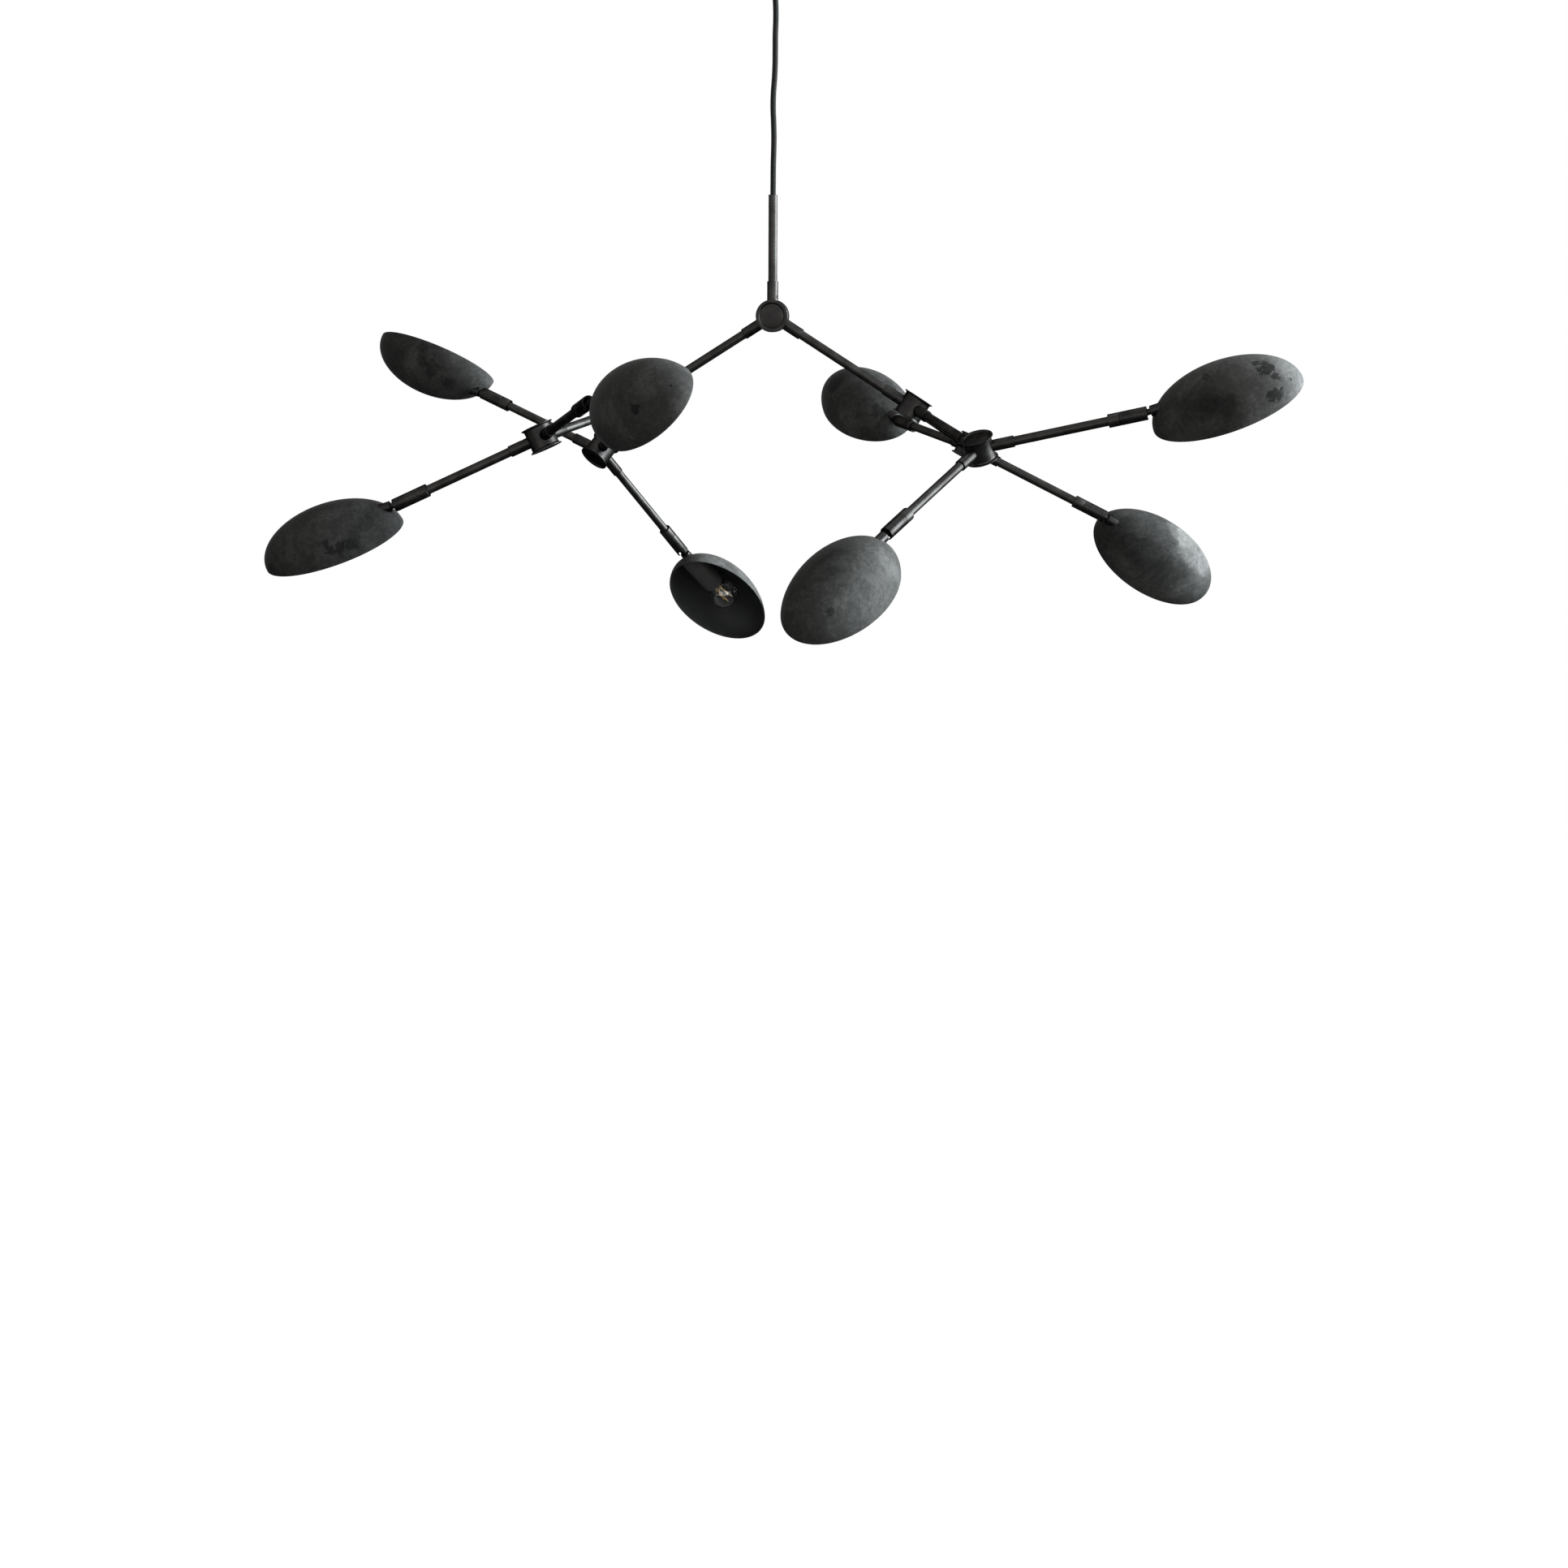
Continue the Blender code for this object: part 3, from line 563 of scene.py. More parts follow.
def new_material(name):
    """A material and its tree, still empty."""
    material = bpy.data.materials.new(name)
    material.use_nodes = True
    material.node_tree.nodes.clear()
    return material, material.node_tree


def torn_distance(tree, place, tears, centre, depth):
    """The distance from a mark's centre, with noise added so that the mark's edge is torn."""
    away = add_node(tree, "ShaderNodeVectorMath", {"operation": 'DISTANCE'}, {0: place, 1: centre})
    return add_node(tree, "ShaderNodeMath", {"operation": 'MULTIPLY_ADD'}, {
        0: tears, 1: depth, 2: away.outputs["Value"]})


def colour_steps(tree, value, *steps):
    """Blends between (position, colour) steps."""
    ramp = add_node(tree, "ShaderNodeValToRGB", inputs={"Fac": value})
    elements = ramp.color_ramp.elements
    for element, (position, shade) in zip(elements, (steps[0], steps[-1])):
        element.position = position
        element.color = shade
    for position, shade in steps[1:-1]:
        elements.new(position).color = shade
    return ramp


def patinated_iron_with_painted_light(colours, name, seed, stains, painted_light_and_wax):
    """Spun iron sheet, blackened and waxed: cloudy and mottled, with torn stains, pale wax and painted
    light and shade.

    Stains are (centre, radius, strength); the patches of pale wax and painted light are (centre, radius,
    gain, raggedness).
    """
    material, tree = new_material(name)
    place = add_node(tree, "ShaderNodeTexCoord").outputs["Object"]
    spot = add_node(tree, "ShaderNodeVectorMath", {"operation": 'ADD'}, {0: place, 1: seed})
    # Clouds 50 mm across and specks of 6 mm, as wax and scale lie on the sheet
    clouds = add_node(tree, "ShaderNodeTexNoise", inputs={
        "Vector": spot, "Scale": 20.0, "Detail": 6.0, "Roughness": 0.6, "Distortion": 0.5})
    specks = add_node(tree, "ShaderNodeTexNoise", inputs={
        "Vector": spot, "Scale": 170.0, "Detail": 5.0, "Roughness": 0.7})
    tone = add_node(tree, "ShaderNodeMath", {"operation": 'MULTIPLY_ADD'}, {
        0: specks, 1: 0.7, 2: clouds})
    base = colour_steps(tree, tone, (0.70, colours.iron_dark), (0.85, colours.iron),
                        (1.0, colours.iron_light))
    tears = add_node(tree, "ShaderNodeTexNoise", inputs={
        "Vector": spot, "Scale": 85.0, "Detail": 5.0, "Roughness": 0.72, "Distortion": 0.6})
    # Each of these patches scales the iron's colour: a gain above one paints pale wax together with
    # painted highlight where the key lamp falls, a gain below one paints shade
    for centre, radius, gain, ragged in painted_light_and_wax:
        lift = add_node(tree, "ShaderNodeMapRange", {"interpolation_type": 'SMOOTHSTEP'}, {
            "Value": torn_distance(tree, place, tears, centre, radius * ragged),
            "From Min": radius * (1 + 0.5 * ragged), "From Max": radius * (0.1 + 1.2 * ragged),
            "To Min": 1.0, "To Max": gain})
        base = add_node(tree, "ShaderNodeVectorMath", {"operation": 'SCALE'}, {0: base, 3: lift})
    for centre, radius, strength in stains:
        share = add_node(tree, "ShaderNodeMapRange", inputs={
            "Value": torn_distance(tree, place, tears, centre, radius * 3.6),
            "From Min": radius * 2.75, "From Max": radius * 2.65, "To Max": strength})
        base = add_node(tree, "ShaderNodeMix", {"data_type": 'RGBA'}, {
            0: share, 6: base, 7: colours.iron_stain}).outputs[2]
    gloss = add_node(tree, "ShaderNodeMapRange", inputs={
        "Value": tone, "From Min": 0.5, "From Max": 1.0, "To Min": 0.46, "To Max": 0.6})
    grain = add_node(tree, "ShaderNodeTexNoise", inputs={"Vector": place, "Scale": 700.0, "Detail": 3.0})
    bump = add_node(tree, "ShaderNodeBump", inputs={
        "Strength": 0.12, "Distance": 0.0004, "Height": grain})
    shader = add_node(tree, "ShaderNodeBsdfPrincipled", inputs={
        "Base Color": base, "Roughness": gloss, "Specular IOR Level": 0.01, "Normal": bump})
    add_node(tree, "ShaderNodeOutputMaterial", inputs={"Surface": shader})
    return material


def plain_finish(name, base, roughness, metallic=0.0, mottle=0.25, scale=60.0, grain=500.0,
                 height=0.0002, specular=0.5):
    """Paint, lacquer, rubber or bare metal with a slight mottle and a fine grain."""
    material, tree = new_material(name)
    place = add_node(tree, "ShaderNodeTexCoord").outputs["Object"]
    cloud = add_node(tree, "ShaderNodeTexNoise", inputs={"Vector": place, "Scale": scale, "Detail": 5.0})
    shade = add_node(tree, "ShaderNodeMapRange", inputs={
        "Value": cloud, "From Min": 0.3, "From Max": 0.7, "To Min": 1 - mottle, "To Max": 1 + mottle})
    tint = add_node(tree, "ShaderNodeVectorMath", {"operation": 'SCALE'}, {0: base[:3], 3: shade})
    fine = add_node(tree, "ShaderNodeTexNoise", inputs={"Vector": place, "Scale": grain, "Detail": 2.0})
    bump = add_node(tree, "ShaderNodeBump", inputs={"Strength": 0.2, "Distance": height, "Height": fine})
    rough = add_node(tree, "ShaderNodeMapRange", inputs={
        "Value": cloud, "To Min": roughness - ROUGHNESS_SPREAD, "To Max": roughness + ROUGHNESS_SPREAD})
    shader = add_node(tree, "ShaderNodeBsdfPrincipled", inputs={
        "Base Color": tint, "Metallic": metallic, "Specular IOR Level": specular, "Roughness": rough,
        "Normal": bump})
    add_node(tree, "ShaderNodeOutputMaterial", inputs={"Surface": shader})
    return material


def burnished_steel(name, dark, light, edge, along, roughness):
    """Blackened steel, rubbed back. The rubbing follows the tube, or goes round a turned piece."""
    material, tree = new_material(name)
    coords = add_node(tree, "ShaderNodeTexCoord")
    # Fine lines about 0.3 mm apart, drawn out to 40 mm
    fine, drawn = 3000.0, 25.0
    stretch = (fine, drawn, 1) if along else (drawn, fine, 1)
    lines_at = add_node(tree, "ShaderNodeMapping", inputs={
        "Vector": coords.outputs["UV"], "Scale": stretch})
    lines = add_node(tree, "ShaderNodeTexNoise", inputs={"Vector": lines_at, "Scale": 1.0, "Detail": 3.0})
    cloud = add_node(tree, "ShaderNodeTexNoise", inputs={
        "Vector": coords.outputs["Object"], "Scale": 55.0, "Detail": 6.0, "Roughness": 0.6})
    both = add_node(tree, "ShaderNodeMath", {"operation": 'MULTIPLY_ADD'}, {0: lines, 1: 0.35, 2: cloud})
    rough = add_node(tree, "ShaderNodeMapRange", inputs={
        "Value": both, "From Min": 0.4, "From Max": 0.9,
        "To Min": roughness - ROUGHNESS_SPREAD, "To Max": roughness + ROUGHNESS_SPREAD})
    bump = add_node(tree, "ShaderNodeBump", inputs={
        "Strength": 0.08, "Distance": 0.0001, "Height": lines})
    shader = add_node(tree, "ShaderNodeBsdfPrincipled", inputs={
        "Base Color": colour_steps(tree, both, (0.45, dark), (0.86, light)), "Metallic": 1.0,
        "Specular Tint": edge, "Roughness": rough, "Normal": bump})
    add_node(tree, "ShaderNodeOutputMaterial", inputs={"Surface": shader})
    return material


def braided_yarn(colours, name):
    """Black cotton braid, its weave painted into the colour as shade between the strands and highlight on
    them. Real yarn is 0.4 mm wide; it is drawn at 1 mm so that it shows.
    """
    material, tree = new_material(name)
    uv = add_node(tree, "ShaderNodeTexCoord").outputs["UV"]
    parts = add_node(tree, "ShaderNodeSeparateXYZ", inputs={"Vector": uv})
    strands = []
    for lean in (1, -1):
        slant = add_node(tree, "ShaderNodeMath", {"operation": 'MULTIPLY_ADD'}, {
            0: parts.outputs["Y"], 1: lean, 2: parts.outputs["X"]})
        wave = add_node(tree, "ShaderNodeMath", {"operation": 'MULTIPLY'}, {
            0: slant, 1: math.tau / YARN_PITCH})
        strands.append(add_node(tree, "ShaderNodeMath", {"operation": 'SINE'}, {0: wave}))
    weave = add_node(tree, "ShaderNodeMath", {"operation": 'MULTIPLY'}, {0: strands[0], 1: strands[1]})
    # Painted shade between the strands and painted highlight on their crests: the braid's colour runs
    # from half to 1.6 times over the weave
    painted_weave_shading = add_node(tree, "ShaderNodeMapRange", inputs={
        "Value": weave, "From Min": -1.0, "From Max": 1.0, "To Min": 0.5, "To Max": 1.6})
    tint = add_node(tree, "ShaderNodeVectorMath", {"operation": 'SCALE'}, {0: colours.braid[:3], 3: painted_weave_shading})
    bump = add_node(tree, "ShaderNodeBump", inputs={"Strength": 0.7, "Distance": 0.0004, "Height": weave})
    shader = add_node(tree, "ShaderNodeBsdfPrincipled", inputs={
        "Base Color": tint, "Roughness": 0.9, "Specular IOR Level": 0.15, "Sheen Weight": 0.15,
        "Normal": bump})
    add_node(tree, "ShaderNodeOutputMaterial", inputs={"Surface": shader})
    return material


def clear_glass(name, roughness=0.0):
    """Blown soda glass, 0.7 mm thick, with faint draw marks. It casts no shadow."""
    material, tree = new_material(name)
    place = add_node(tree, "ShaderNodeTexCoord").outputs["Object"]
    wave = add_node(tree, "ShaderNodeTexNoise", inputs={"Vector": place, "Scale": 90.0, "Detail": 1.0})
    bump = add_node(tree, "ShaderNodeBump", inputs={"Strength": 0.03, "Distance": 0.0003, "Height": wave})
    shader = add_node(tree, "ShaderNodeBsdfPrincipled", inputs={
        "Base Color": WHITE, "Roughness": roughness, "IOR": 1.45, "Transmission Weight": 1.0,
        "Normal": bump})
    path = add_node(tree, "ShaderNodeLightPath")
    clear = add_node(tree, "ShaderNodeBsdfTransparent")
    mixed = add_node(tree, "ShaderNodeMixShader", inputs={
        0: path.outputs["Is Shadow Ray"], 1: shader, 2: clear})
    add_node(tree, "ShaderNodeOutputMaterial", inputs={"Surface": mixed})
    return material


def make_finishes(colours):
    """Every finish but the shades' own patina, by its name."""
    edge = colours.steel_edge
    return {
        # Drawn tube, blackened and rubbed: dull streaks that run along it
        "tube_steel": burnished_steel(
            "burnished_steel_drawn", colours.steel_dark, colours.steel, edge, True, 0.44),
        # The same steel off the lathe: fine rings that catch a narrow glint
        "turned_steel": burnished_steel(
            "burnished_steel_turned", colours.turned_dark, colours.turned, edge, False, 0.42),
        # Stoved lacquer: flat and deep, so the inside of a shade stays dark
        "inside_black": plain_finish("stoved_lacquer_black", colours.inside, 0.72, specular=0.25),
        # Sheared iron under wax: a thin line, a little brighter than the sheet
        "cut_edge": plain_finish("cut_iron_edge", colours.iron_rim, 0.45, metallic=0.6),
        # Powder coat: a soft, faintly pebbled grey
        "holder_paint": plain_finish("powder_coat_grey", colours.holder, 0.62, height=0.0003),
        # Moulded rubber: flat black with hardly a gleam
        "black_rubber": plain_finish("moulded_rubber_black", hex_colour("#101010"), 0.75, specular=0.3),
        # Ground steel, left bare, darkened or blackened: a broken gleam over its grain
        "bright_steel": plain_finish("ground_steel_bright", hex_colour("#8f8d88"), 0.3, metallic=1.0),
        "pin_steel": plain_finish("ground_pin_steel", hex_colour("#3c3c3b"), 0.32, metallic=1.0),
        "screw_steel": plain_finish("blackened_screw_steel", hex_colour("#1a1918"), 0.4, metallic=0.9),
        # Moulded phenolic: hard and dark, with a low shine
        "phenolic": plain_finish("moulded_phenolic_black", hex_colour("#161514"), 0.35),
        # Nickel on brass: a warm, fairly clear mirror
        "cap_nickel": plain_finish("nickel_plated_brass", hex_colour("#a9a59a"), 0.28, metallic=1.0),
        # Blown and pressed glass: clear, and slightly blurred where it was pinched
        "glass": clear_glass("blown_glass_clear"),
        "mount_glass": clear_glass("pressed_glass_mount", roughness=0.12),
        # Phosphor in resin: amber, mottled at the size of its grains
        "light_bar": plain_finish("phosphor_resin_amber", colours.light_bar, 0.3, scale=400.0),
        "braid": braided_yarn(colours, "cotton_braid_black"),
    }


# Geometry Nodes trees

def new_geometry_tree(name, inputs):
    """A tree with named inputs for its sizes and for a material, and those inputs."""
    tree = bpy.data.node_groups.new(name, 'GeometryNodeTree')
    kinds = {int: 'NodeSocketInt', float: 'NodeSocketFloat'}
    tree.interface.new_socket("Geometry", in_out='INPUT', socket_type='NodeSocketGeometry')
    for label, value in inputs.items():
        socket = tree.interface.new_socket(label, in_out='INPUT', socket_type=kinds[type(value)])
        socket.default_value = value
    tree.interface.new_socket("Material", in_out='INPUT', socket_type='NodeSocketMaterial')
    tree.interface.new_socket("Geometry", in_out='OUTPUT', socket_type='NodeSocketGeometry')
    return tree, add_node(tree, "NodeGroupInput").outputs


def end_tree(tree, given, geometry):
    """Ends a tree in real meshes that wear its material."""
    real = add_node(tree, "GeometryNodeRealizeInstances", inputs={"Geometry": geometry})
    painted = add_node(tree, "GeometryNodeSetMaterial", inputs={
        "Geometry": real, "Material": given["Material"]})
    add_node(tree, "NodeGroupOutput", inputs={"Geometry": painted})
    return tree


def copies_on(tree, points, piece, aim):
    """A copy of a piece on each point, its Z turned to the point's aim."""
    turn = add_node(tree, "FunctionNodeAlignRotationToVector", {"axis": 'Z'}, {"Vector": aim})
    return add_node(tree, "GeometryNodeInstanceOnPoints", inputs={
        "Points": points, "Instance": piece, "Rotation": turn})


def moved_up(tree, geometry, height):
    """Geometry moved along Z."""
    offset = add_node(tree, "ShaderNodeCombineXYZ", inputs={"Z": height})
    return add_node(tree, "GeometryNodeTransform", inputs={"Geometry": geometry, "Translation": offset})


def run_tree(mesh, tree, values):
    """The tree's result on a mesh, with its inputs set, as a plain mesh."""
    obj = scratch_object(mesh)
    modifier = obj.modifiers.new(tree.name, 'NODES')
    modifier.node_group = tree
    for socket in tree.interface.items_tree:
        if socket.name in values:
            modifier[socket.identifier] = values[socket.name]
    return baked(obj)


def shade_tree():
    """Half of an egg-shaped surface from a unit sphere, rim down on -X."""
    tree, given = new_geometry_tree("half_egg_shell", {
        "Segments": 64, "Rings": 32, "Back": 0.1, "Front": 0.1, "Half Width": 0.06, "Depth": 0.06,
        "Lean": 0.0, "Centre": 0.1, "Rim Drop": 0.03})
    sphere = add_node(tree, "GeometryNodeMeshUVSphere", inputs={
        "Segments": given["Segments"], "Rings": given["Rings"], "Radius": 1.0})
    place = add_node(tree, "GeometryNodeInputPosition")
    unit = add_node(tree, "ShaderNodeSeparateXYZ", inputs={"Vector": place}).outputs
    below = add_node(tree, "FunctionNodeCompare", {"data_type": 'FLOAT', "operation": 'LESS_THAN'}, {
        0: unit["Z"], 1: -0.0001})
    half = add_node(tree, "GeometryNodeDeleteGeometry", {"domain": 'POINT'}, {
        "Geometry": sphere, "Selection": below})
    ahead = add_node(tree, "FunctionNodeCompare", {"data_type": 'FLOAT', "operation": 'GREATER_THAN'}, {
        0: unit["X"], 1: 0.0})
    reach = add_node(tree, "GeometryNodeSwitch", {"input_type": 'FLOAT'}, {
        "Switch": ahead, "False": given["Back"], "True": given["Front"]})
    rise = add_node(tree, "ShaderNodeMath", {"operation": 'MULTIPLY'}, {0: unit["Z"], 1: given["Depth"]})
    height = add_node(tree, "ShaderNodeMath", {"operation": 'SUBTRACT'}, {0: rise, 1: given["Rim Drop"]})
    wide = add_node(tree, "ShaderNodeMath", {"operation": 'MULTIPLY'}, {
        0: unit["Y"], 1: given["Half Width"]})
    side = add_node(tree, "ShaderNodeMath", {"operation": 'MULTIPLY'}, {0: wide, 1: -1.0})
    tip = add_node(tree, "ShaderNodeMath", {"operation": 'MULTIPLY_ADD'}, {
        0: unit["X"], 1: reach, 2: given["Centre"]})
    along = add_node(tree, "ShaderNodeMath", {"operation": 'MULTIPLY_ADD'}, {
        0: unit["Z"], 1: given["Lean"], 2: tip})
    spot = add_node(tree, "ShaderNodeCombineXYZ", inputs={"X": height, "Y": side, "Z": along})
    shaped = add_node(tree, "GeometryNodeSetPosition", inputs={"Geometry": half, "Position": spot})
    return end_tree(tree, given, shaped)


def grub_screw_tree():
    """A hexagon-socket screw on each point, with its head towards the point's aim."""
    tree, given = new_geometry_tree("grub_screws", {
        "Radius": 0.002, "Length": 0.003, "Key Share": 0.55, "Key Depth Share": 0.6})
    bar = add_node(tree, "GeometryNodeMeshCylinder", inputs={
        "Vertices": SCREW_STEPS, "Radius": given["Radius"], "Depth": given["Length"]})
    key = add_node(tree, "ShaderNodeMath", {"operation": 'MULTIPLY'}, {
        0: given["Radius"], 1: given["Key Share"]})
    key_bar = add_node(tree, "GeometryNodeMeshCylinder", inputs={
        "Vertices": 6, "Radius": key, "Depth": given["Length"]})
    lift = add_node(tree, "ShaderNodeMath", {"operation": 'MULTIPLY'}, {
        0: given["Length"], 1: given["Key Depth Share"]})
    screw = add_node(tree, "GeometryNodeMeshBoolean", {"operation": 'DIFFERENCE', "solver": 'EXACT'}, {
        0: bar, 1: moved_up(tree, key_bar, lift)})
    aim = add_node(tree, "GeometryNodeInputNamedAttribute", {"data_type": 'FLOAT_VECTOR'}, {
        "Name": "aim"})
    return end_tree(tree, given, copies_on(tree, given["Geometry"], screw, aim))


def light_bar_tree():
    """Filament bars that stand on a ring and lean outwards."""
    tree, given = new_geometry_tree("filament_bars", {
        "Bars": 4, "Ring": 0.004, "Bar Radius": 0.0008, "Bar Length": 0.026, "Splay": 0.15,
        "Start": 0.1})
    ring = add_node(tree, "GeometryNodeMeshCircle", inputs={
        "Vertices": given["Bars"], "Radius": given["Ring"]})
    bar = add_node(tree, "GeometryNodeMeshCylinder", inputs={
        "Vertices": BAR_STEPS, "Radius": given["Bar Radius"], "Depth": given["Bar Length"]})
    half = add_node(tree, "ShaderNodeMath", {"operation": 'MULTIPLY'}, {0: given["Bar Length"], 1: 0.5})
    place = add_node(tree, "GeometryNodeInputPosition")
    outward = add_node(tree, "ShaderNodeVectorMath", {"operation": 'NORMALIZE'}, {0: place})
    lean = add_node(tree, "ShaderNodeMath", {"operation": 'TANGENT'}, {0: given["Splay"]})
    sideways = add_node(tree, "ShaderNodeVectorMath", {"operation": 'SCALE'}, {0: outward, 3: lean})
    aim = add_node(tree, "ShaderNodeVectorMath", {"operation": 'ADD'}, {0: sideways, 1: (0, 0, 1)})
    bars = copies_on(tree, ring, moved_up(tree, bar, half), aim)
    return end_tree(tree, given, moved_up(tree, bars, given["Start"]))


# The stage and the pieces

class PieceOperator:
    """What every operator here shares."""
    bl_options = {'REGISTER', 'UNDO'}


class LIGHT_OT_stage(PieceOperator, bpy.types.Operator):
    """Sets up the studio: pale floor, soft lamps, a white surround and the camera"""
    bl_idname = "ceiling_light.stage"
    bl_label = "Studio and Camera"

    # Name, place and side in metres, power in watts and tint of each square lamp
    SOFT_LAMPS = (
        ("key_softbox", (2.8, 0.2, -0.05), 1.7, 127, (0.87, 0.945, 1)),
        ("top_softbox", (0.4, 0.3, 1.6), 1.6, 5, (1, 1, 1)),
        ("right_fill", (1.8, -3.2, -0.3), 2.2, 13, (1, 1, 1)),
        ("left_fill", (-1.4, -3.4, -0.6), 2.2, 5, (1, 1, 1)),
    )
    LIT_PLACE = Vector((0, 0, -0.70))
    SPREAD = math.radians(80)
    SURROUND_LIGHT = 0.27       # strength of the white surround where it isn't seen
    FLOOR_HEIGHT = -4.6
    FLOOR_HALF = 14
    FLOOR_GLOW = 1.1            # strength of the floor's white, and its share where it is seen
    FLOOR_GLOW_SHARE = 0.95

    def execute(self, context):
        scene = context.scene
        self.add_camera(scene)
        self.add_world(scene)
        self.add_floor(scene)
        for name, place, size, power, tint in self.SOFT_LAMPS:
            light = bpy.data.lights.new(name, 'AREA')
            light.shape = 'SQUARE'
            light.size = size
            light.spread = self.SPREAD
            light.energy = power
            light.color = tint
            lamp = bpy.data.objects.new(name, light)
            lamp.location = place
            lamp.rotation_euler = (self.LIT_PLACE - Vector(place)).to_track_quat('-Z', 'Y').to_euler()
            scene.collection.objects.link(lamp)
        scene.view_settings.view_transform = 'Standard'
        return {'FINISHED'}

    def add_camera(self, scene):
        """Stands where the photograph was taken, with its angle of view."""
        data = bpy.data.cameras.new("camera")
        data.sensor_width = SENSOR_WIDTH
        data.lens = FOCAL_PIXELS * SENSOR_WIDTH / IMAGE_SIZE
        data.clip_end = 100
        camera = bpy.data.objects.new("camera", data)
        turn = Matrix((CAMERA_RIGHT, CAMERA_UP, CAMERA_BACK)).transposed().to_4x4()
        camera.matrix_world = Matrix.Translation(CAMERA_PLACE) @ turn
        scene.collection.objects.link(camera)
        scene.camera = camera

    def add_world(self, scene):
        """White where it is seen, straight or in a reflection, and dim where it lights the pieces."""
        world = bpy.data.worlds.new("white_surround")
        scene.world = world
        world.use_nodes = True
        tree = world.node_tree
        tree.nodes.clear()
        path = add_node(tree, "ShaderNodeLightPath").outputs
        seen = path["Is Camera Ray"]
        for other in ("Is Transmission Ray", "Is Glossy Ray"):
            seen = add_node(tree, "ShaderNodeMath", {"operation": 'MAXIMUM'}, {0: seen, 1: path[other]})
        strength = add_node(tree, "ShaderNodeMapRange", inputs={
            "Value": seen, "To Min": self.SURROUND_LIGHT, "To Max": 1.0})
        surround = add_node(tree, "ShaderNodeBackground", inputs={"Color": WHITE, "Strength": strength})
        add_node(tree, "ShaderNodeOutputWorld", inputs={"Surface": surround})

    def add_floor(self, scene):
        """A large pale floor, far enough down for the light to be looked at from below."""
        bm = bmesh.new()
        bmesh.ops.create_grid(bm, x_segments=1, y_segments=1, size=self.FLOOR_HALF)
        floor = scratch_object(finished_mesh("floor", bm))
        floor.location.z = self.FLOOR_HEIGHT
        # Matt paint that lights the pieces softly from below, and is seen as plain white
        material, tree = new_material("painted_floor_white")
        path = add_node(tree, "ShaderNodeLightPath").outputs
        paint = add_node(tree, "ShaderNodeBsdfDiffuse", inputs={"Color": scene.light_colours.floor})
        glow = add_node(tree, "ShaderNodeEmission", inputs={
            "Color": WHITE, "Strength": self.FLOOR_GLOW})
        share = add_node(tree, "ShaderNodeMath", {"operation": 'MULTIPLY'}, {
            0: path["Is Camera Ray"], 1: self.FLOOR_GLOW_SHARE})
        mixed = add_node(tree, "ShaderNodeMixShader", inputs={0: share, 1: paint, 2: glow})
        add_node(tree, "ShaderNodeOutputMaterial", inputs={"Surface": mixed})
        floor.data.materials.append(material)


class LIGHT_OT_cable(PieceOperator, bpy.types.Operator):
    """Lays the braided cable from the stem's cord grip up to the gland that holds it"""
    bl_idname = "ceiling_light.cable"
    bl_label = "Braided Cable and Gland"

    def execute(self, context):
        sizes = context.scene.ceiling_sizes
        finishes.update(make_finishes(context.scene.light_colours))
        path = self.smooth_route(CABLE_ROUTE)
        mesh = self.tube_mesh("braided_cable", path, sizes.cable, sizes.cable_steps)
        cable = placed("braided_cable", mesh, Matrix(), "braid", "frame", "cable", "power_cable")
        gland = placed("canopy_gland", self.gland_mesh(sizes, context.scene.tree_sizes.fit), Matrix(),
                       "turned_steel", "frame", "steel", "canopy_cord_grip")
        return {'FINISHED'}

    def gland_mesh(self, sizes, fit):
        """Nut inside the canopy, shank through its floor, flange and tapered nose below."""
        floor = -sizes.height
        nut_bottom = floor + sizes.wall + fit
        flange_top = floor - fit
        return turned_mesh("canopy_gland", softened([
            (0, nut_bottom + sizes.nut_height),
            (sizes.nut, nut_bottom + sizes.nut_height),
            (sizes.nut, nut_bottom),
            (sizes.shank, nut_bottom),
            (sizes.shank, flange_top),
            (sizes.flange, flange_top),
            (sizes.flange, flange_top - sizes.flange_height),
            (sizes.nose, floor - sizes.gland),
            (0, floor - sizes.gland),
        ], sizes.flange_height / 4), TUBE_STEPS)

    def smooth_route(self, points, steps=8):
        """A smooth curve through the route's points, so many steps to each stretch."""
        route = [Vector(p) for p in points]
        route = [2 * route[0] - route[1]] + route + [2 * route[-1] - route[-2]]
        fine = []
        for a, b, c, d in zip(route, route[1:], route[2:], route[3:]):
            for k in range(steps):
                t = k / steps
                fine.append(0.5 * (2 * b + (c - a) * t + (2 * a - 5 * b + 4 * c - d) * t ** 2
                                   + (3 * b - a - 3 * c + d) * t ** 3))
        return fine + [route[-2]]

    def tube_mesh(self, name, path, radius, steps):
        """A round tube along a path that never lies flat, with its UV map in metres."""
        bm = bmesh.new()
        uv = bm.loops.layers.uv.new("UVMap")
        rings = []
        run = [0.0]
        for i, point in enumerate(path):
            ahead = path[min(i + 1, len(path) - 1)] - path[max(i - 1, 0)]
            side = Vector((0, 1, 0)).cross(ahead).normalized()
            other = ahead.normalized().cross(side)
            rings.append([bm.verts.new(point + radius * (
                side * math.cos(math.tau * k / steps) + other * math.sin(math.tau * k / steps)))
                for k in range(steps)])
            if i:
                run.append(run[-1] + (point - path[i - 1]).length)
        girth = math.tau * radius
        for i, (lower, upper) in enumerate(zip(rings, rings[1:])):
            for k in range(steps):
                after = (k + 1) % steps
                face = bm.faces.new((lower[k], lower[after], upper[after], upper[k]))
                spots = ((k, i), (k + 1, i), (k + 1, i + 1), (k, i + 1))
                for loop, (turn, row) in zip(face.loops, spots):
                    loop[uv].uv = (girth * turn / steps, run[row])
        bm.faces.new(reversed(rings[0]))
        bm.faces.new(rings[-1])
        return finished_mesh(name, bm)


